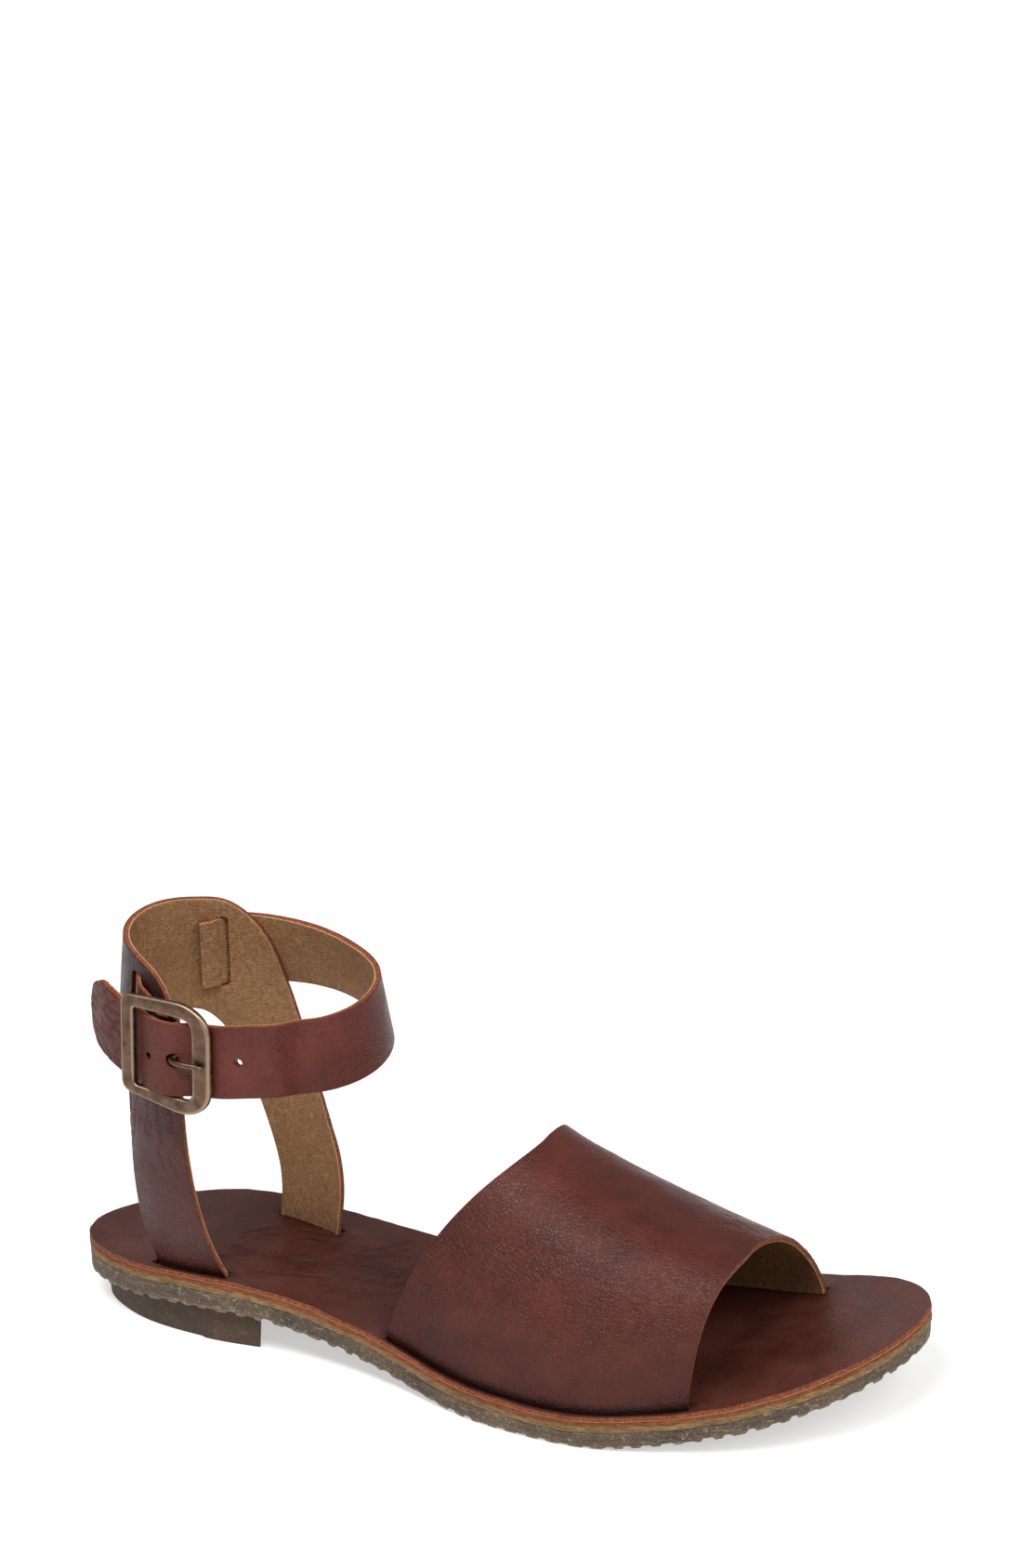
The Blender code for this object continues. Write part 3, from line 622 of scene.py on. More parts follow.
def barrel_point(angle, height, out=0.0):
    """A point on the oval barrel, a distance outside its wall."""
    turn = math.radians(angle)
    length = BARREL_LENGTH(height)
    width = BARREL_WIDTH(height)
    lean = Vector((math.cos(turn) / length, math.sin(turn) / width, 0.0)).normalized()
    wall = Vector((
        BARREL_STATION(height) + length * math.cos(turn),
        BARREL_SIDE(height) + width * math.sin(turn),
        height,
    ))
    return wall + lean * out


def loop_height(angle):
    """Height of the ankle loop's middle line, on its tilted plane."""
    point = barrel_point(angle, LOOP_CENTRE[2])
    rise = LOOP_RISE[0] * (point.x - LOOP_CENTRE[0]) + LOOP_RISE[1] * (point.y - LOOP_CENTRE[1])
    return LOOP_CENTRE[2] + rise


def buckle_axes():
    """The buckle's middle and its directions: along to the toe, out from the ankle, and up."""
    height = loop_height(BUCKLE_ANGLE) + BUCKLE_LIFT
    middle = barrel_point(BUCKLE_ANGLE, height, PANEL_TO_STRAP + LEATHER / 2.0)
    ahead = barrel_point(BUCKLE_ANGLE + 1.0, height, PANEL_TO_STRAP + LEATHER / 2.0)
    along = (ahead - middle).normalized()
    up = barrel_up(BUCKLE_ANGLE, height)
    up = (up - along * up.dot(along)).normalized()
    out = along.cross(up).normalized()
    return middle, along, out, up


def buckle_point(along, out, up):
    middle, direction, outward, upward = buckle_axes()
    return middle + direction * along + outward * out + upward * up


def barrel_up(angle, height):
    """Direction of the barrel's wall, upwards."""
    above = barrel_point(angle, height + WALL_REACH)
    return (above - barrel_point(angle, height - WALL_REACH)).normalized()


def measured(frames):
    """The same frames, each with its distance from the strap's free end."""
    made = []
    to_end = 0.0
    after = frames[-1][0]
    for point, up in reversed(frames):
        to_end += (after - point).length
        after = point
        made.append((point, up, to_end))
    made.reverse()
    return made


def smooth_frames(frames, steps):
    rows = [(*point, *up) for point, up in frames]
    made = []
    for row in smooth_path(rows, steps):
        made.append((Vector(row[:3]), Vector(row[3:]).normalized()))
    return made


def strap_frames():
    """The ankle strap's middle line and its upward direction."""
    _, _, _, buckle_up = buckle_axes()
    frames = []
    for angle, out, lift, lean in LOOP_ROUTE:
        height = loop_height(angle) + lift
        point = barrel_point(angle, height, out)
        outward = (barrel_point(angle, height, 1.0) - barrel_point(angle, height)).normalized()
        up = Vector((0.0, 0.0, math.cos(lean))) - outward * math.sin(lean)
        frames.append((point, up))
    for along, out, up in BUCKLE_ROUTE:
        frames.append((buckle_point(along, out, up), buckle_up))
    return measured(smooth_frames(frames, STRAP_STEPS))


def tip_width(to_end):
    """Half the strap's width, drawn in to a rounded point at its free end."""
    if to_end >= TIP_LENGTH:
        return STRAP_WIDTH / 2.0
    share = max(to_end / TIP_LENGTH, 0.0)
    return STRAP_WIDTH / 2.0 * (TIP_BLUNT + (1.0 - TIP_BLUNT) * math.sqrt(1.0 - (1.0 - share) ** 2))


def anchor_frames():
    """The short strap's middle line: through its slit, to the bar and back over it."""
    _, _, _, buckle_up = buckle_axes()
    frames = []
    for angle, out, height in ANCHOR_ROUTE:
        frames.append((barrel_point(angle, height, out), barrel_up(angle, height)))
    for along, out in ANCHOR_BAR_ROUTE:
        frames.append((buckle_point(along, out, BUCKLE_UP), buckle_up))
    radius = BAR_RADIUS + GAP + ANCHOR_FOLD / 2.0
    for turn in ANCHOR_FOLD_TURNS:
        angle = math.radians(turn)
        along = radius * math.cos(angle)
        out = BAR_OUT + radius * math.sin(angle)
        frames.append((buckle_point(along, out, BUCKLE_UP), buckle_up))
    for along, out in ANCHOR_FLAP:
        frames.append((buckle_point(along, out, BUCKLE_UP), buckle_up))
    return frames


def rounded_outline(corners, count):
    """Evenly spaced points round a polygon whose corners are rounded."""
    dense = []
    total = len(corners)
    for k, (along, up, radius) in enumerate(corners):
        corner = Vector((along, up))
        before = Vector(corners[k - 1][:2]) - corner
        after = Vector(corners[(k + 1) % total][:2]) - corner
        reach = min(radius, before.length / 2.0, after.length / 2.0)
        start = corner + before.normalized() * reach
        end = corner + after.normalized() * reach
        for step in range(CORNER_STEPS + 1):
            t = step / CORNER_STEPS
            dense.append(start * (1.0 - t) ** 2 + corner * 2.0 * t * (1.0 - t) + end * t * t)
    lengths = [0.0]
    for k, point in enumerate(dense):
        lengths.append(lengths[-1] + (dense[(k + 1) % len(dense)] - point).length)
    points = []
    for n in range(count):
        place = lengths[-1] * n / count
        k = min(bisect.bisect_right(lengths, place) - 1, len(dense) - 1)
        share = (place - lengths[k]) / max(lengths[k + 1] - lengths[k], 1e-6)
        points.append(dense[k].lerp(dense[(k + 1) % len(dense)], share))
    return points


def wave(point, size, seed=0.0):
    """Smooth noise from -1 to 1 with the given size of bump, in millimetres."""
    spot = Vector((point[0] / size + seed, point[1] / size - seed, point[2] / size + 2.0 * seed))
    return noise.noise(spot)


def soft_waves(waves, point):
    """Height of a piece's soft unevenness at a point."""
    return sum(height * wave(point, size, seed) for size, seed, height in waves)


def creases_at(point, size, seed, sharpness, stretch=(1.0, 1.0, 1.0)):
    """From 0 to 1: narrow lines, where smooth noise changes its sign."""
    pulled = [part * pull for part, pull in zip(point, stretch)]
    return max(0.0, 1.0 - sharpness * abs(wave(pulled, size, seed)))


# Shells: a surface that is given a wall, rounded rims and a mark of depth through it

def grid_between(rows, mark_name=None, marks=None):
    """A grid of faces through rows of points, with its lengths in millimetres as its UV map.

    Marks hold one value for each point, which the vertices keep under the mark's name.
    """
    bm = bmesh.new()
    uv = bm.loops.layers.uv.new("UVMap")
    layer = bm.verts.layers.float.new(mark_name) if marks else None
    along = len(rows)
    across = len(rows[0])
    bmesh.ops.create_grid(bm, x_segments=along - 1, y_segments=across - 1, size=1.0)
    bm.verts.ensure_lookup_table()
    run = [0.0]
    middle = across // 2
    for i in range(1, along):
        run.append(run[-1] + (rows[i][middle] - rows[i - 1][middle]).length)
    spread = [0.0]
    widest = rows[along // 2]
    for j in range(1, across):
        spread.append(spread[-1] + (widest[j] - widest[j - 1]).length)
    cells = {}
    for vertex in bm.verts:
        i = round((vertex.co.x + 1.0) / 2.0 * (along - 1))
        j = round((vertex.co.y + 1.0) / 2.0 * (across - 1))
        cells[vertex.index] = (i, j)
        vertex.co = rows[i][j]
        if marks:
            vertex[layer] = marks[i][j]
    for face in bm.faces:
        for loop in face.loops:
            i, j = cells[loop.vert.index]
            loop[uv].uv = (run[i], spread[j])
    bm.normal_update()
    return bm


def shell(name, rows, wall, outward, rim, steps=2, relief=None, shade=None):
    """Leather or board with its wall. Depth runs from 0 at the outer face to 1 at the inner. A shade
    function, where given, marks painted shade on each vertex.
    """
    bm = grid_between(rows)
    middles = bm.verts.layers.float_vector.new("middle")
    walls = bm.verts.layers.float_vector.new("wall")
    depths = bm.verts.layers.float.new("depth")
    # Painted shade from the shade function, from 0 to 1 on each vertex
    painted_shade_layer = bm.verts.layers.float.new("crease_and_painted_shade")
    lean = sum(vertex.normal.dot(outward(vertex.co)) for vertex in bm.verts)
    if lean < 0.0:
        bmesh.ops.reverse_faces(bm, faces=bm.faces[:])
        bm.normal_update()
    for vertex in bm.verts:
        vertex[middles] = vertex.co
        vertex[walls] = vertex.normal
    outer = bm.verts[:]
    made = bmesh.ops.extrude_face_region(bm, geom=bm.faces[:])
    inner = [item for item in made["geom"] if isinstance(item, bmesh.types.BMVert)]
    for vertex in outer:
        vertex.co = vertex[middles] + vertex[walls] * (wall / 2.0)
    for vertex in inner:
        vertex.co = vertex[middles] - vertex[walls] * (wall / 2.0)
    bmesh.ops.recalc_face_normals(bm, faces=bm.faces[:])
    bm.normal_update()
    outer_set = set(outer)
    inner_set = set(inner)
    lips = []
    for edge in bm.edges:
        both_outer = edge.verts[0] in outer_set and edge.verts[1] in outer_set
        both_inner = edge.verts[0] in inner_set and edge.verts[1] in inner_set
        if both_outer or both_inner:
            sides = [sum(vertex in outer_set for vertex in face.verts) for face in edge.link_faces]
            if any(0 < count < len(face.verts) for count, face in zip(sides, edge.link_faces)):
                lips.append(edge)
    bmesh.ops.bevel(
        bm, geom=lips, offset=rim, affect="EDGES", segments=steps, profile=0.5,
        material=-1, clamp_overlap=True,
    )
    for vertex in bm.verts:
        middle = vertex[middles]
        through = 0.5 - (vertex.co - middle).dot(vertex[walls]) / wall
        vertex[depths] = clamp(through)
        if shade:
            vertex[painted_shade_layer] = shade(middle, through < 0.5)
        if relief:
            vertex.co += vertex[walls] * relief(middle, through < 0.5)
    bm.verts.layers.float_vector.remove(middles)
    bm.verts.layers.float_vector.remove(walls)
    return make_piece(name, bm)


def make_piece(name, bm, smooth=True):
    """Turn a mesh in millimetres into a piece in the frame."""
    bmesh.ops.translate(bm, verts=bm.verts[:], vec=-CENTRE)
    bmesh.ops.scale(bm, verts=bm.verts[:], vec=(MM, MM, MM))
    bmesh.ops.recalc_face_normals(bm, faces=bm.faces[:])
    mesh = bpy.data.meshes.new(name)
    bm.to_mesh(mesh)
    bm.free()
    piece = bpy.data.objects.new(name, mesh)
    bpy.context.scene.collection.objects.link(piece)
    if smooth:
        mesh.shade_smooth()
    return piece


def carve(piece, cutters):
    """Cut shapes out of a piece and keep the result as its mesh."""
    for cutter in cutters:
        opening = piece.modifiers.new(cutter.name, "BOOLEAN")
        opening.operation = "DIFFERENCE"
        opening.solver = "EXACT"
        opening.object = cutter
    bpy.context.view_layer.update()
    graph = bpy.context.evaluated_depsgraph_get()
    cut_mesh = bpy.data.meshes.new_from_object(piece.evaluated_get(graph))
    piece.modifiers.clear()
    piece.data = cut_mesh
    for cutter in cutters:
        bpy.data.objects.remove(cutter)


def close_up(bm):
    """Merge the seam of a rolled-up grid, and fill its open ends."""
    bmesh.ops.remove_doubles(bm, verts=bm.verts[:], dist=MERGE)
    bmesh.ops.holes_fill(bm, edges=bm.edges[:])
    bmesh.ops.recalc_face_normals(bm, faces=bm.faces[:])


def cutter(name, bm, axes, centre, depth):
    """A shape to cut with, its X, Y and Z turned to three directions. Its walls get a depth."""
    bmesh.ops.rotate(bm, verts=bm.verts[:], matrix=Matrix(axes).transposed())
    bmesh.ops.translate(bm, verts=bm.verts[:], vec=centre)
    mark = bm.verts.layers.float.new("depth")
    for vertex in bm.verts:
        vertex[mark] = depth
    return make_piece(name, bm, smooth=False)


def sharpen(piece, degrees):
    """Keep the edges crisp that turn by more than this."""
    piece.data.set_sharp_from_angle(angle=math.radians(degrees))


def dress(piece, surface, node):
    """Give a piece its finish and its body, and hide the solid that it stands for."""
    piece.data.materials.clear()
    piece.data.materials.append(surface)
    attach(piece, "root")
    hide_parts(node)


# Finishes

class Finish:
    """A procedural material, written as a chain of its nodes."""

    def __init__(self, name, roughness, specular=0.5, metallic=0.0):
        self.material = bpy.data.materials.new(name)
        self.material.use_nodes = True
        self.nodes = self.material.node_tree.nodes
        self.links = self.material.node_tree.links
        self.shader = self.nodes["Principled BSDF"]
        self.shader.inputs["Roughness"].default_value = roughness
        self.shader.inputs["Specular IOR Level"].default_value = specular
        self.shader.inputs["Metallic"].default_value = metallic
        self.coordinates = self.nodes.new("ShaderNodeTexCoord")
        self.relief = None

    def add(self, kind, inputs, **settings):
        """A new node with its settings. Its inputs are given as values or as links."""
        node = self.nodes.new(kind)
        for key, value in settings.items():
            setattr(node, key, value)
        for key, value in inputs.items():
            if isinstance(value, bpy.types.NodeSocket):
                self.links.new(value, node.inputs[key])
            else:
                node.inputs[key].default_value = value
        return node

    def stretched(self, stretch):
        """Object coordinates, multiplied along each axis."""
        spot = {"Vector": self.coordinates.outputs["Object"], "Scale": stretch}
        return self.add("ShaderNodeMapping", spot).outputs["Vector"]

    def noise(self, scale, detail=4.0, rough=0.55, stretch=(1.0, 1.0, 1.0), warp=0.0):
        """Noise, with the scale in bumps to the metre."""
        return self.add("ShaderNodeTexNoise", {
            "Vector": self.stretched(stretch), "Scale": scale, "Detail": detail,
            "Roughness": rough, "Distortion": warp,
        }).outputs["Fac"]

    def cell_edges(self, scale):
        """Distance to the edges of random cells, with the scale in cells to the metre."""
        return self.add("ShaderNodeTexVoronoi", {
            "Vector": self.stretched((1.0, 1.0, 1.0)), "Scale": scale,
        }, feature="DISTANCE_TO_EDGE").outputs["Distance"]

    def attribute(self, name):
        return self.add("ShaderNodeAttribute", {}, attribute_name=name).outputs["Fac"]

    def span(self, value, low, high, to_low=0.0, to_high=1.0):
        """A smooth step from one value to another, between two places."""
        return self.add("ShaderNodeMapRange", {
            "Value": value, "From Min": low, "From Max": high, "To Min": to_low, "To Max": to_high,
        }, interpolation_type="SMOOTHSTEP").outputs["Result"]

    def maths(self, operation, *values):
        return self.add("ShaderNodeMath", dict(enumerate(values)), operation=operation).outputs["Value"]

    def ramp(self, value, places, shades):
        """Screen colours at places along a value."""
        node = self.add("ShaderNodeValToRGB", {"Fac": value})
        bands = node.color_ramp.elements
        while len(bands) < len(places):
            bands.new(0.5)
        for band, spot, shade in zip(bands, places, shades):
            band.position = spot
            band.color = tone(shade)
        return node.outputs["Color"]

    def mix(self, share, first, second):
        """From one colour to another. A colour is a link or a screen colour."""
        inputs = {0: share}
        for number, shade in ((6, first), (7, second)):
            inputs[number] = tone(shade) if isinstance(shade, tuple) else shade
        return self.add("ShaderNodeMix", inputs, data_type="RGBA").outputs[2]

    def colour(self, value):
        self.links.new(value, self.shader.inputs["Base Color"])

    def rough(self, value):
        self.links.new(value, self.shader.inputs["Roughness"])

    def bump(self, value, distance, strength):
        """Adds a layer of small relief. Distance is its depth in metres."""
        inputs = {"Height": value, "Distance": distance, "Strength": strength}
        if self.relief is not None:
            inputs["Normal"] = self.relief
        self.relief = self.add("ShaderNodeBump", inputs).outputs["Normal"]
        self.links.new(self.relief, self.shader.inputs["Normal"])


def tone(shade):
    """A screen colour from 0 to 255, as the renderer's own colour."""
    linear = []
    for part in shade:
        value = part / 255.0
        linear.append(value / 12.92 if value <= 0.04045 else ((value + 0.055) / 1.055) ** 2.4)
    return (*linear, 1.0)


def grain_side(skin, cloudy, lines, shades):
    """Waxed outer face: clouded colour, dark specks, painted shade in creases, by the slots and on shaded
    sides, and fine lines.
    """
    broad = skin.noise(26.0, 3.0, 0.55)
    pull = skin.maths("ADD", skin.maths("MULTIPLY", broad, 0.65), skin.maths("MULTIPLY", cloudy, 0.35))
    face = skin.ramp(pull, (0.34, 0.5, 0.66), shades)
    speck = skin.noise(1500.0, 3.0, 0.6)
    face = skin.mix(skin.span(speck, 0.56, 0.72, 0.0, 0.35), face, shades[0])
    # Painted shade: darkened towards near black where the shade functions mark it
    face = skin.mix(skin.maths("MULTIPLY", skin.attribute("crease_and_painted_shade"), 0.85), face, PAINTED_SHADE_DARK)
    return skin.mix(skin.maths("MULTIPLY", lines, 0.4), face, shades[0])


def fine_lines(skin):
    """Thin lines in patches, where noise passes its middle value."""
    off_middle = skin.maths("SUBTRACT", skin.noise(300.0, 2.0, 0.5, warp=0.7), 0.5)
    lines = skin.span(skin.maths("ABSOLUTE", off_middle), 0.0, 0.022, 1.0, 0.0)
    return skin.maths("MULTIPLY", lines, skin.span(skin.noise(24.0, 2.0), 0.42, 0.6))


def flesh_side(skin, fibre):
    """Brushed inner face, darker in patches."""
    flesh = skin.ramp(fibre, (0.2, 0.5, 0.8), FLESH_SHADES)
    patches = skin.span(skin.noise(55.0, 4.0, 0.6), 0.35, 0.7, 0.0, 0.3)
    return skin.mix(patches, flesh, FLESH_SHADES[0])


def leather_finish(name, shades, roughness, pale):
    """Waxed leather: grain outside, a raw cut edge with a pale line, and a brushed flesh side."""
    skin = Finish(name, roughness, 0.25)
    cloudy = skin.noise(120.0, 5.0, 0.6, warp=0.4)
    lines = fine_lines(skin)
    fibre = skin.noise(900.0, 6.0, 0.7, stretch=(1.0, 1.0, 0.55))
    depth = skin.attribute("depth")
    ragged = skin.span(skin.noise(520.0, 5.0, 0.65), 0.25, 0.75, -0.07, 0.07)
    frayed = skin.maths("ADD", depth, ragged)
    raw = skin.noise(1400.0, 5.0, 0.7)
    cut = skin.ramp(raw, (0.3, 0.52, 0.75), EDGE_SHADES)
    shade = skin.mix(skin.span(frayed, 0.07, 0.17), grain_side(skin, cloudy, lines, shades), cut)
    shade = skin.mix(skin.span(frayed, 0.74, 0.88), shade, pale)
    skin.colour(skin.mix(skin.span(depth, 0.955, 0.995), shade, flesh_side(skin, fibre)))
    shine = skin.span(cloudy, 0.35, 0.7, roughness - 0.05, roughness + 0.1)
    skin.rough(skin.maths("ADD", shine, skin.span(depth, 0.02, 0.2, 0.0, 0.42)))
    skin.bump(skin.span(skin.cell_edges(850.0), 0.0, 0.25), 0.00018, 0.6)
    skin.bump(skin.maths("SUBTRACT", 1.0, lines), 0.00022, 0.5)
    skin.bump(skin.noise(420.0, 7.0, 0.7), 0.0004, 0.55)
    skin.bump(fibre, 0.00005, 0.3)
    return skin.material


def board_finish():
    """Tan fibre board, in thin layers, rubbed brown in places and darker along its top."""
    board = Finish("midsole_board", 0.85, 0.25)
    layers = board.noise(1.0, 5.0, 0.65, stretch=(380.0, 380.0, 1700.0))
    fleck = board.noise(1300.0, 4.0, 0.7)
    stain = board.noise(70.0, 4.0, 0.6)
    depth = board.maths("ADD", board.attribute("depth"), board.span(stain, 0.2, 0.8, -0.22, 0.22))
    lower = board.ramp(layers, (0.3, 0.5, 0.7), BOARD_SHADES)
    upper = board.ramp(layers, (0.3, 0.5, 0.7), BOARD_TOP_SHADES)
    shade = board.mix(board.span(depth, 0.3, 0.5), upper, lower)
    shade = board.mix(board.span(fleck, 0.55, 0.75, 0.0, 0.5), shade, BOARD_FLECK)
    board.colour(board.mix(board.span(stain, 0.45, 0.75, 0.0, 0.6), shade, BOARD_STAIN))
    board.bump(layers, 0.00016, 0.7)
    board.bump(fleck, 0.0001, 0.6)
    return board.material


def rubber_finish(name, shades, scuff, amount):
    """Dull rubber with pale flecks and scuffs."""
    rubber = Finish(name, 0.7, 0.35)
    tint = rubber.noise(60.0, 4.0, 0.6)
    fine = rubber.noise(1600.0, 4.0, 0.7)
    chalk = rubber.noise(640.0, 8.0, 0.72)
    mark = rubber.noise(1.0, 6.0, 0.7, stretch=(160.0, 160.0, 900.0))
    shade = rubber.ramp(tint, (0.3, 0.5, 0.7), shades)
    shade = rubber.mix(rubber.span(fine, 0.5, 0.38, 0.0, 0.6), shade, shades[0])
    for pattern, low, high in ((fine, 0.57, 0.68), (chalk, 0.55, 0.66), (mark, 0.57, 0.68)):
        shade = rubber.mix(rubber.span(pattern, low, high, 0.0, amount), shade, scuff)
    chalky = rubber.span(chalk, 0.38, 0.6, 0.25, 1.0)
    worn = rubber.maths("MULTIPLY", rubber.attribute("worn"), chalky)
    rubber.colour(rubber.mix(worn, shade, scuff))
    rubber.rough(rubber.span(tint, 0.3, 0.7, 0.62, 0.8))
    rubber.bump(fine, 0.00012, 0.7)
    rubber.bump(chalk, 0.0004, 0.6)
    rubber.bump(rubber.noise(190.0, 4.0, 0.6), 0.0003, 0.35)
    return rubber.material


def brass_finish():
    """Aged brass: brown patina in patches, rubbed brighter along its edges."""
    brass = Finish("antique_brass", 0.42, 0.5, 1.0)
    patina = brass.noise(230.0, 6.0, 0.62)
    fine = brass.noise(1900.0, 4.0, 0.6)
    shade = brass.ramp(patina, (0.32, 0.5, 0.68), BRASS_SHADES)
    shade = brass.mix(brass.span(fine, 0.55, 0.72, 0.0, 0.4), shade, BRASS_DARK)
    rubbed = brass.maths("MULTIPLY", brass.attribute("rubbed"), 0.6)
    brass.colour(brass.mix(rubbed, shade, BRASS_BRIGHT))
    brass.rough(brass.span(patina, 0.3, 0.7, 0.34, 0.55))
    brass.bump(patina, 0.00008, 0.35)
    brass.bump(fine, 0.00003, 0.4)
    return brass.material


# Pieces

def from_barrel(point):
    """Outwards from the upright barrel that the heel strap lies on."""
    return Vector((point.x - BARREL_STATION(point.z), (point.y - BARREL_SIDE(point.z)) * 2.0, 0.0))


def upwards(point):
    return Vector((0.0, 0.0, 1.0))


def vamp_skin(angle, share):
    """The toe band's middle surface, its rear corner eased and its medial front foot tucked in."""
    point = vamp_point(angle, share)
    crown = math.exp(-((angle - CROWN_ANGLE) / CROWN_SPREAD) ** 2)
    point.x += CROWN_BACK * crown * max(0.0, 1.0 - share * CROWN_FADE) ** 2
    tuck = eased(share_between(angle, *TUCK_ANGLES)) * eased(share_between(share, *TUCK_SHARES))
    point.x += FOOT_FORWARD * tuck
    point.y -= FOOT_TUCK * tuck
    return point


def over_footbed(point):
    return point.z - FOOTBED_HEIGHT(point.x)


def vamp_rows():
    """Rows over the toe band from foot to foot, both feet let down into their slots."""
    rows = []
    for step in range(-FOOT_STEPS, VAMP_AROUND + FOOT_STEPS + 1):
        angle = math.pi * clamp(step / VAMP_AROUND)
        past = max(-step, step - VAMP_AROUND, 0)
        drop = Vector((0.0, 0.0, FOOT_DEPTH * past / FOOT_STEPS))
        rows.append([vamp_skin(angle, j / VAMP_ALONG) - drop for j in range(VAMP_ALONG + 1)])
    return rows


def make_vamp(leather):
    """The broad band over the toes."""
    def folds(point):
        return creases_at(point, *VAMP_CREASES) * clamp(wave(point, 24.0, 21.0) + 0.35)

    def relief(point, outer):
        free = share_between(over_footbed(point), *VAMP_FREE)
        crease_and_painted_shade = VAMP_CREASE_DEPTH * folds(point) if outer else 0.0
        return free * (soft_waves(VAMP_WAVES, point) - crease_and_painted_shade)

    def shade(point, outer):
        # Painted shade: dark where the band goes down into its slot, darker low on its sides, and in its
        # creases
        foot = share_between(over_footbed(point), *VAMP_FOOT_SHADE)
        low = VAMP_SIDE_DARK * share_between(over_footbed(point), *VAMP_SIDE_SHADE)
        return max(foot, low, 0.4 * folds(point)) if outer else 0.4 * foot

    def away(point):
        return Vector((0.0, point.y + 5.0, over_footbed(point) * 0.7 + 1.0))

    vamp = shell("vamp_leather", vamp_rows(), LEATHER, away, RIM, relief=relief, shade=shade)
    dress(vamp, leather, "vamp")


def heel_strap_rows(steps, across):
    """Rows across the inverted U, from one foot over its top to the other."""
    rows = []
    for front_angle, front_height, rear_angle, rear_height in smooth_path(HEEL_STRAP, steps):
        points = []
        for j in range(across + 1):
            share = j / across
            angle = front_angle + (rear_angle - front_angle) * share
            height = front_height + (rear_height - front_height) * share
            seat = midsole_top(barrel_point(angle, height).x) + FOOT_CLEAR
            points.append(barrel_point(angle, max(height, seat)))
        rows.append(points)
    return rows


def slit_cutter(name, angle, height, width, half):
    """An upright slit in the heel strap, with its corners rounded."""
    here = barrel_point(angle, height)
    out = (barrel_point(angle, height, 1.0) - here).normalized()
    up = (barrel_point(angle, height + 1.0) - here).normalized()
    along = up.cross(out).normalized()
    out = along.cross(up).normalized()
    bm = bmesh.new()
    bmesh.ops.create_cube(bm, size=1.0)
    bmesh.ops.scale(bm, verts=bm.verts[:], vec=(2.0 * half, SLIT_REACH, width + SLIT_CLEAR))
    upright = [edge for edge in bm.edges if abs(edge.verts[0].co.y - edge.verts[1].co.y) > 1.0]
    bmesh.ops.bevel(
        bm, geom=upright, offset=SLIT_CORNER, affect="EDGES", segments=3, profile=0.5, material=-1
    )
    return cutter(name, bm, (along, out, up), here, SLIT_WALL_DEPTH)


def make_heel_strap(leather):
    """The inverted U behind the ankle, with its two slits."""
    def folds(point):
        leg = share_between(point.z, *LEG_CREASE_TOP) * share_between(point.z, *LEG_CREASE_FOOT)
        return leg * creases_at(point, *LEG_CREASES)

    def relief(point, outer):
        free = share_between(point.z, *LEG_FREE)
        crease_and_painted_shade = LEG_CREASE_DEPTH * folds(point) if outer else 0.0
        return free * (soft_waves(HEEL_STRAP_WAVES, point) - crease_and_painted_shade)

    def shade(point, outer):
        # Painted shade: dark where the legs go down into their slots, the whole outer face darkened, more
        # so high on the panel, and in the creases
        foot = share_between(over_footbed(point), *LEG_FOOT_SHADE)
        lee = LEG_DARK + PANEL_DARK * share_between(point.z, *PANEL_SHADE)
        return max(foot, lee + 0.2 * folds(point)) if outer else 0.4 * foot

    strap = shell(
        "heel_strap_leather", heel_strap_rows(14, 40), LEATHER, from_barrel, RIM,
        relief=relief, shade=shade,
    )
    medial_height = loop_height(MEDIAL_SLIT) + MEDIAL_SLIT_LIFT
    carve(strap, [
        slit_cutter("slit_medial", MEDIAL_SLIT, medial_height, STRAP_WIDTH, MEDIAL_SLIT_HALF),
        slit_cutter("slit_lateral", LATERAL_SLIT, SLIT_HEIGHT_LATERAL, ANCHOR_WIDTH, LATERAL_SLIT_HALF),
    ])
    dress(strap, leather, "heel_strap")


def round_cutter(name, along, up, radius, lean=0.0):
    """A round punch through the ankle strap, which may lean along it."""
    _, direction, outward, upward = buckle_axes()
    axis = (outward + direction * lean).normalized()
    side = upward.cross(axis).normalized()
    bm = bmesh.new()
    bmesh.ops.create_cone(
        bm, cap_ends=True, segments=28, radius1=radius, radius2=radius, depth=PUNCH_REACH
    )
    here = buckle_point(along, PUNCH_OUT, up)
    return cutter(name, bm, (side, axis.cross(side), axis), here, PUNCH_WALL_DEPTH)


def band_rows(frames, half_width, across):
    """Rows across a strap, to both sides of its middle line."""
    rows = []
    for point, up, to_end in frames:
        half = half_width(to_end)
        rows.append([point + up * half * (2.0 * j / across - 1.0) for j in range(across + 1)])
    return rows


def make_ankle_strap(leather):
    """The belt, with its punched holes and its stroked free end."""
    middle, direction, _, _ = buckle_axes()

    def marks(point):
        """Short random strokes pressed into the free end."""
        along = (point - middle).dot(direction)
        return share_between(along, *STROKES_ALONG) * creases_at(point, *STROKES)

    def relief(point, outer):
        return soft_waves(ANKLE_STRAP_WAVES, point) - STROKE_DEPTH * marks(point)

    def shade(point, outer):
        # Painted shade in the pressed strokes of the free end
        return 0.45 * marks(point) if outer else 0.0

    frames = strap_frames()
    whole = frames[0][2]
    frames = [frame for frame in frames if whole - frame[2] >= TAB_CUT]
    strap = shell(
        "ankle_strap_leather", band_rows(frames, tip_width, 36), LEATHER, from_barrel, RIM,
        relief=relief, shade=shade,
    )
    holes = []
    for number, (along, up, radius) in enumerate(STRAP_HOLES, start=1):
        holes.append(round_cutter("strap_hole_%d" % number, along, up, radius))
    holes.append(round_cutter(
        "strap_prong_hole", PRONG_HOLE["along"], BUCKLE_UP, PRONG_HOLE["radius"], lean=0.5
    ))
    carve(strap, holes)
    dress(strap, leather, "ankle_strap")


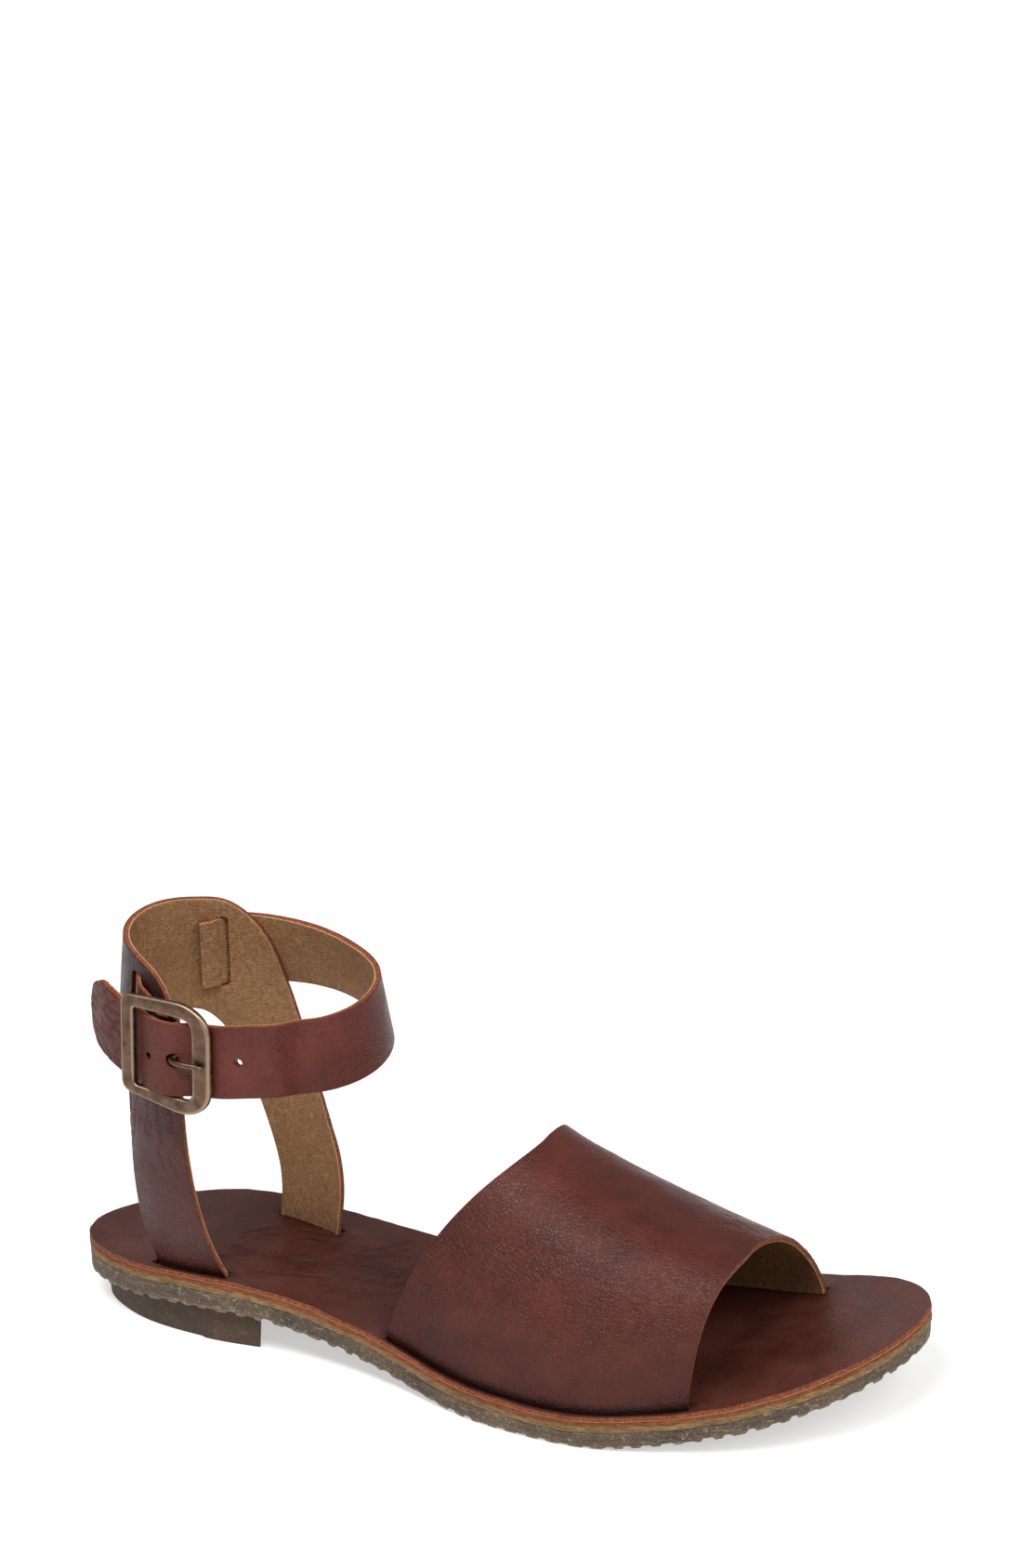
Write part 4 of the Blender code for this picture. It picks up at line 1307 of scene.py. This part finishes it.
def make_buckle_strap(leather):
    """The short strap that folds round the buckle's bar, with a slot for the prong."""
    frames = [(point, up, 1.0) for point, up in smooth_frames(anchor_frames(), 6)]
    rows = band_rows(frames, lambda to_end: ANCHOR_WIDTH / 2.0, 20)
    middle, *axes = buckle_axes()

    def away(point):
        return from_barrel(point) if (point - middle).length > 9.0 else Vector((0.0, 0.0, 0.0))

    strap = shell("buckle_strap_leather", rows, ANCHOR_FOLD, away, ANCHOR_RIM)
    bm = bmesh.new()
    bmesh.ops.create_cube(bm, size=1.0)
    bmesh.ops.scale(bm, verts=bm.verts[:], vec=PRONG_SLOT)
    carve(strap, [cutter("prong_slot", bm, axes, buckle_point(0.6, 1.0, BUCKLE_UP), 0.0)])
    dress(strap, leather, "buckle_strap")


def layer_rows(places, across, height, edge=0.0):
    """Rows across a layer of the sole, with a slight waver along its edges."""
    rows = []
    for station in places:
        wobble = [
            EDGE_WOBBLE * (wave((station, side, edge), 11.0, 2.0) + 0.6 * wave((station, side, edge), 3.6))
            for side in (-20.0, 20.0)
        ]
        low = lateral_edge(station) + edge + wobble[0]
        high = medial_edge(station) - edge - wobble[1]
        rows.append([
            Vector((station, low + (high - low) * share, height(station))) for share in across
        ])
    return rows


def stations(count):
    """Stations along the sole, closer together towards its round ends."""
    places = []
    for k in range(count + 1):
        share = k / count
        rounded = (1.0 - math.cos(math.pi * share)) / 2.0
        blend = (1.0 - STATION_BLEND) * share + STATION_BLEND * rounded
        places.append(END_STATION + (SOLE_LENGTH - 2.0 * END_STATION) * blend)
    return places


def slot_cutters():
    """Slots in the insole for the feet of the toe band and of the heel strap."""
    lines = []
    for angle in (0.0, math.pi):
        points = [vamp_skin(angle, k / 40.0) for k in range(41)]
        out = Vector((0.0, math.copysign(SLOT_OPEN / 2.0, points[20].y), SLOT_ABOVE))
        lines.append([(point + out, Vector((0.0, 0.0, -SLOT_DROP))) for point in points])
    for row, sway in ((HEEL_STRAP[0], SLOT_SWAY_LATERAL), (HEEL_STRAP[-1], SLOT_SWAY_MEDIAL)):
        line = []
        for k in range(31):
            angle = row[0] + (row[2] + sway - row[0]) * k / 30.0
            top, bottom = [barrel_point(angle, height, SLOT_OPEN / 2.0) for height in STRAP_SLOT_HEIGHTS]
            line.append((top, bottom - top))
        lines.append(line)
    cutters = []
    for number, line in enumerate(lines, start=1):
        rows = [[point + drop * share for share in (0.0, 0.5, 1.0)] for point, drop in line]
        rows[0] = [point + (point - rows[1][k]).normalized() * GAP for k, point in enumerate(rows[0])]
        rows[-1] = [point + (point - rows[-2][k]).normalized() * GAP for k, point in enumerate(rows[-1])]
        slot = make_piece("slot_%d" % number, grid_between(rows), smooth=False)
        wall = slot.modifiers.new("Wall", "SOLIDIFY")
        wall.thickness = (LEATHER + 2.0 * GAP + SLOT_OPEN) * MM
        wall.offset = 0.0
        cutters.append(slot)
    return cutters


def wrinkle_points():
    """Points along short curved wrinkles in the middle of the insole, placed at random."""
    rng = random.Random(5)
    points = []
    for _ in range(46):
        spot = Vector((rng.uniform(48.0, 108.0), rng.uniform(-22.0, 8.0)))
        turn = rng.gauss(0.5, 0.35)
        bend = rng.uniform(-0.05, 0.05)
        for _ in range(rng.randint(7, 15)):
            points.append((spot.x, spot.y))
            spot = spot + Vector((math.cos(turn), math.sin(turn))) * WRINKLE_STEP
            turn += bend
    return points


def strap_feet():
    """Points where the straps meet the insole, as station, side and which way is outwards."""
    feet = []
    for angle, side in ((0.0, -1.0), (math.pi, 1.0)):
        for k in range(61):
            point = vamp_skin(angle, k / 60.0)
            feet.append((point.x, point.y, side))
    for row in (HEEL_STRAP[0], HEEL_STRAP[-1]):
        for k in range(21):
            point = barrel_point(row[0] + (row[2] - row[0]) * k / 20.0, 24.0)
            feet.append((point.x, point.y, math.copysign(1.0, point.y)))
    return feet


def finder(points):
    """Finds the nearest of these points, seen from above."""
    tree = KDTree(len(points))
    for number, point in enumerate(points):
        tree.insert((point[0], point[1], 0.0), number)
    tree.balance()
    return tree


def make_insole(leather):
    """The footbed, wrinkled in its middle, with painted shade where the straps go through and in its
    wrinkles.
    """
    wrinkles = finder(wrinkle_points())
    feet = strap_feet()
    slots = finder(feet)

    def relief(point, outer):
        if not outer:
            return 0.0
        _, _, near = wrinkles.find((point.x, point.y, 0.0))
        groove = -0.32 * math.exp(-(near / 0.65) ** 2) + 0.22 * math.exp(-((near - 1.5) / 0.7) ** 2)
        return groove + soft_waves(INSOLE_WAVES, point)

    def shade(point, outer):
        # Painted shade round the slots, reaching further on their outer side, and in the wrinkles
        _, _, near = wrinkles.find((point.x, point.y, 0.0))
        foot, number, away = slots.find((point.x, point.y, 0.0))
        outside = (point.y - foot.y) * feet[number][2] > 0.0
        reach = SLOT_SHADE_OUTSIDE if outside else SLOT_SHADE_INSIDE
        dark = 0.95 * max(0.0, 1.0 - max(away - 1.0, 0.0) / reach)
        return max(dark, 0.28 * math.exp(-(near / 0.6) ** 2))

    across = [k / 120.0 for k in range(121)]
    rows = layer_rows(stations(340), across, lambda x: FOOTBED_HEIGHT(x) - INSOLE_THICKNESS / 2.0)
    insole = shell(
        "insole_leather", rows, INSOLE_THICKNESS, upwards, 0.4, relief=relief, shade=shade
    )
    carve(insole, slot_cutters())
    dress(insole, leather, "insole")


def make_midsole(board):
    """The tan board between the rubber and the insole."""
    def middle(station):
        return (midsole_top(station) + midsole_bottom(station)) / 2.0

    across = [k / 24.0 for k in range(25)]
    rows = layer_rows(stations(SOLE_FINE // 2), across, middle, edge=-0.15)
    midsole = shell("midsole_board", rows, MIDSOLE_THICKNESS + GAP, upwards, 0.25)
    dress(midsole, board, "midsole")


def running_lengths(places, edge):
    """Distance along one edge of the sole to each of its stations."""
    lengths = [0.0]
    for before, after in zip(places, places[1:]):
        lengths.append(lengths[-1] + math.hypot(after - before, edge(after) - edge(before)))
    return lengths


def bite_depths(lengths, rng):
    """Depth of the small bites in the rubber's lower edge, placed at random along it."""
    bites = []
    at = BITE_MARGIN
    while at < lengths[-1] - BITE_MARGIN:
        bites.append((at, rng.uniform(*BITE_HALF_WIDTH), rng.uniform(*BITE_DEPTH)))
        at += rng.uniform(*BITE_SPACING)
    depths = []
    for at in lengths:
        depth = 0.0
        for middle, half, deep in bites:
            near = abs(at - middle) / half
            if near < 1.0:
                depth = max(depth, deep * min(1.0, 1.9 * (1.0 - near ** 2)))
        depths.append(depth)
    return depths


def rubber_side(station, edge, inward, top, deep, cut):
    """Points and wear down one side of the rubber, to its bitten lower edge."""
    points = []
    for share, inset in RUBBER_SIDE:
        fall = deep * share
        rough = 0.16 * wave((station, edge, fall * 2.0), 2.2, 4.0) * min(1.0, share * 2.0)
        spot = Vector((station, edge + inward * (inset + rough), top - min(fall, deep - cut)))
        points.append((spot, max(0.0, share - 0.72) * 2.4))
    return points


def rubber_ring(station, lateral_cut, medial_cut):
    """Points and wear round the rubber sheet at a station: top, medial side, floor, lateral side."""
    top = rubber_top(station) + RUBBER_LIFT
    bottom = rubber_bottom(station)
    low = lateral_edge(station) - RUBBER_SPREAD
    high = medial_edge(station) + RUBBER_SPREAD
    half = min(NOTCH_REACH, (high - low) * 0.25)
    groove = TREAD_DEPTH * max(0.0, math.sin(2.0 * math.pi * station / TREAD_CYCLE)) ** 0.5
    ring = [(Vector((station, low + (high - low) * share, top)), 0.0) for share in (0.15, 0.5, 0.85)]
    ring += rubber_side(station, high, -1.0, top, top - bottom, medial_cut)
    floor = [(high - half * 0.45, medial_cut * 0.9), (high - half, 0.0)]
    floor += [(high - half - (high - low - 2.0 * half) * k / 12.0, groove) for k in range(1, 12)]
    floor += [(low + half, 0.0), (low + half * 0.45, lateral_cut * 0.9)]
    ring += [(Vector((station, across, bottom + rise)), FLOOR_WEAR) for across, rise in floor]
    ring += reversed(rubber_side(station, low, 1.0, top, top - bottom, lateral_cut))
    ring.append(ring[0])
    return ring


def make_outsole(rubber):
    """The rubber sheet, with a ragged lower edge and low ribs across its floor."""
    places = stations(SOLE_FINE)
    rng = random.Random(11)
    cuts = [bite_depths(running_lengths(places, edge), rng) for edge in (lateral_edge, medial_edge)]
    rings = [rubber_ring(*spot) for spot in zip(places, *cuts)]
    rows = [[point for point, _ in ring] for ring in rings]
    worn = [[wear for _, wear in ring] for ring in rings]
    bm = grid_between(rows, "worn", worn)
    close_up(bm)
    outsole = make_piece("outsole_rubber", bm)
    sharpen(outsole, 50.0)
    dress(outsole, rubber, "outsole")


def heel_rows():
    """Rows across the heel block from its back to its breast, which slants back on its medial side."""
    rows = []
    for k in range(HEEL_FINE + 1):
        station = END_STATION + HEEL_BREAST * (k / HEEL_FINE) ** 1.6
        sides = []
        for edge, side in ((lateral_edge, -1.0), (medial_edge, 1.0)):
            here = Vector((station, edge(station)))
            tangent = (Vector((station + 0.2, edge(station + 0.2))) - here).normalized()
            point = here + Vector((tangent.y, -tangent.x)) * side * (HEEL_INSET - HEEL_SPREAD)
            slant = BREAST_SLANT * (k / HEEL_FINE) ** 3 if side > 0.0 else 0.0
            sides.append(Vector((min(point.x, HEEL_BREAST) - slant, point.y, 0.0)))
        rows.append([sides[0].lerp(sides[1], share / 12.0) for share in range(13)])
    return rows


def make_heel(rubber):
    """The low block under the heel, drawn in a little towards the floor."""
    bm = grid_between(heel_rows())
    made = bmesh.ops.extrude_face_region(bm, geom=bm.faces[:])
    lower = {item for item in made["geom"] if isinstance(item, bmesh.types.BMVert)}
    centre = Vector((HEEL_BREAST / 2.0, 0.0, 0.0))
    for vertex in bm.verts:
        if vertex in lower:
            vertex.co.z = 0.0
            if vertex.co.x < HEEL_BREAST - BREAST_SLANT - 1.0:
                vertex.co -= (vertex.co - centre).normalized() * HEEL_TAPER
        else:
            vertex.co.z = rubber_bottom(vertex.co.x) + HEEL_LIFT
    bmesh.ops.recalc_face_normals(bm, faces=bm.faces[:])
    rims = [edge for edge in bm.edges if edge.calc_face_angle(0.0) > 0.9]
    bmesh.ops.bevel(
        bm, geom=rims, offset=0.4, affect="EDGES", segments=2, profile=0.5, material=-1
    )
    heel = make_piece("heel_rubber", bm)
    sharpen(heel, 40.0)
    dress(heel, rubber, "heel")


def add_part(whole, part):
    """Add one bmesh to another."""
    mesh = bpy.data.meshes.new("part")
    part.to_mesh(mesh)
    part.free()
    whole.from_mesh(mesh)
    bpy.data.meshes.remove(mesh)


def tube(points, radii, side, sides=24):
    """A round wire with closed ends along points in a plane, whose normal is the side."""
    rows = []
    last = len(points) - 1
    for k, point in enumerate(points):
        run = (points[min(k + 1, last)] - points[max(k - 1, 0)]).normalized()
        across = run.cross(side).normalized()
        row = []
        for number in range(sides + 1):
            turn = 2.0 * math.pi * number / sides
            row.append(point + (side * math.cos(turn) + across * math.sin(turn)) * radii[k])
        rows.append(row)
    bm = grid_between(rows)
    close_up(bm)
    return bm


def frame_rings():
    """Rings round the section of the cast frame, all the way round it."""
    back = PLATE_OUT - PLATE_THICKNESS / 2.0
    outer = rounded_outline(BUCKLE_OUTER, FRAME_STEPS)
    window = rounded_outline(BUCKLE_WINDOW, FRAME_STEPS)
    rings = []
    for first, second in zip(outer + outer[:1], window + window[:1]):
        ring = []
        for share, lift, _ in FRAME_SECTION:
            flat = first.lerp(second, share)
            ring.append(buckle_point(flat.x, back + PLATE_THICKNESS * lift, flat.y))
        rings.append(ring)
    return rings


def make_buckle_frame(metal):
    """Cast frame with a softly rounded section, and the bar across its window."""
    rings = frame_rings()
    rubbed = [mark for _, _, mark in FRAME_SECTION]
    bm = grid_between(rings, "rubbed", [rubbed] * len(rings))
    close_up(bm)
    _, direction, _, _ = buckle_axes()
    bar = [buckle_point(0.0, out, up) for out, up in smooth_path(BAR_PATH, 4)]
    add_part(bm, tube(bar, [BAR_RADIUS] * len(bar), direction))
    dress(make_piece("buckle_frame_brass", bm), metal, "buckle_frame")


def make_buckle_prong(metal):
    """Tapered wire: an eye round the bar, and an arm that goes through the strap's hole."""
    radius = BAR_RADIUS + GAP + PRONG_EYE_RADIUS
    rows = []
    for turn in PRONG_EYE_TURNS:
        angle = math.radians(turn)
        rows.append((radius * math.cos(angle), BAR_OUT + radius * math.sin(angle)))
    rows = smooth_path(rows + list(PRONG_ARM), 5)
    tip = PRONG_ARM[-1][0]
    radii = []
    for along, out in rows:
        thick = share_between(out - BAR_OUT, 1.6, 3.4)
        taper = share_between(along, tip, tip - 4.0) if out > BAR_OUT + 2.2 else 1.0
        full = PRONG_EYE_RADIUS + (PRONG_RADIUS - PRONG_EYE_RADIUS) * thick
        radii.append(full * (0.55 + 0.45 * math.sqrt(taper)))
    _, _, _, upward = buckle_axes()
    points = [buckle_point(along, out, BUCKLE_UP) for along, out in rows]
    prong = make_piece("buckle_prong_brass", tube(points, radii, upward))
    dress(prong, metal, "buckle_prong")


# Studio

def make_floor():
    """A plain pale floor."""
    paint = Finish("floor_paint", 0.9, 0.1)
    paint.shader.inputs["Base Color"].default_value = FLOOR_SHADE
    paint.shader.inputs["Emission Color"].default_value = WHITE
    paint.shader.inputs["Emission Strength"].default_value = FLOOR_GLOW
    bm = bmesh.new()
    bmesh.ops.create_grid(bm, x_segments=8, y_segments=8, size=FLOOR_HALF)
    floor = make_piece("floor", bm)
    floor.data.materials.append(paint.material)


def add_object(name, data):
    """A light or a camera in the scene."""
    made = bpy.data.objects.new(name, data)
    bpy.context.scene.collection.objects.link(made)
    return made


def facing(direction):
    """The turn that points a light along a direction."""
    return Vector(direction).to_track_quat("-Z", "Y").to_euler()


def light_studio():
    """Light from all round, a broad soft sun, and a panel for the sheen on the leather."""
    world = bpy.data.worlds.new("studio")
    world.use_nodes = True
    background = world.node_tree.nodes["Background"]
    background.inputs["Color"].default_value = WHITE
    background.inputs["Strength"].default_value = WORLD_LIGHT
    bpy.context.scene.world = world
    sun = bpy.data.lights.new("overhead_light", "SUN")
    sun.energy = SUN_LIGHT
    sun.angle = SUN_SPREAD
    add_object("overhead_light", sun).rotation_euler = facing(-Vector(SUN_FROM))
    sheen = bpy.data.lights.new("sheen_light", "AREA")
    sheen.shape = "RECTANGLE"
    sheen.size, sheen.size_y = SHEEN_SIZE
    sheen.energy = SHEEN_LIGHT
    panel = add_object("sheen_light", sheen)
    panel.location = SHEEN_PLACE
    panel.rotation_euler = facing(Vector(SHEEN_AIM) - Vector(SHEEN_PLACE))


def set_camera():
    """The photograph's camera, turned round the sandal, raised, and rolled a little."""
    back = Vector((
        math.sin(CAMERA_TURN) * math.cos(CAMERA_RISE),
        -math.cos(CAMERA_TURN) * math.cos(CAMERA_RISE),
        math.sin(CAMERA_RISE),
    ))
    right = Vector((math.cos(CAMERA_TURN), math.sin(CAMERA_TURN), 0.0))
    up = back.cross(right)
    rolled_right = right * math.cos(CAMERA_ROLL) + up * math.sin(CAMERA_ROLL)
    rolled_up = up * math.cos(CAMERA_ROLL) - right * math.sin(CAMERA_ROLL)
    pose = Matrix((rolled_right, rolled_up, back)).transposed().to_4x4()
    pose.translation = Vector(CAMERA_AIM) + back * CAMERA_DISTANCE
    lens = bpy.data.cameras.new("photo_camera")
    lens.sensor_fit = "VERTICAL"
    lens.sensor_height = CAMERA_SENSOR
    lens.lens = CAMERA_LENS
    lens.shift_x, lens.shift_y = CAMERA_SHIFT
    lens.clip_start = 0.01
    camera = add_object("photo_camera", lens)
    camera.matrix_world = pose
    bpy.context.scene.camera = camera
    bpy.context.scene.view_settings.view_transform = "Standard"


def build():
    make_floor()
    light_studio()
    set_camera()
    upper = leather_finish("upper_leather", UPPER_SHADES, 0.34, PALE_LINE)
    make_vamp(upper)
    make_heel_strap(upper)
    make_ankle_strap(upper)
    make_buckle_strap(upper)
    make_insole(leather_finish("insole_leather", FOOTBED_SHADES, 0.36, EDGE_LIGHT))
    make_midsole(board_finish())
    make_outsole(rubber_finish("sole_rubber", SOLE_SHADES, SOLE_SCUFF, 0.62))
    make_heel(rubber_finish("heel_rubber", HEEL_SHADES, HEEL_SCUFF, 0.35))
    metal = brass_finish()
    make_buckle_frame(metal)
    make_buckle_prong(metal)


build()
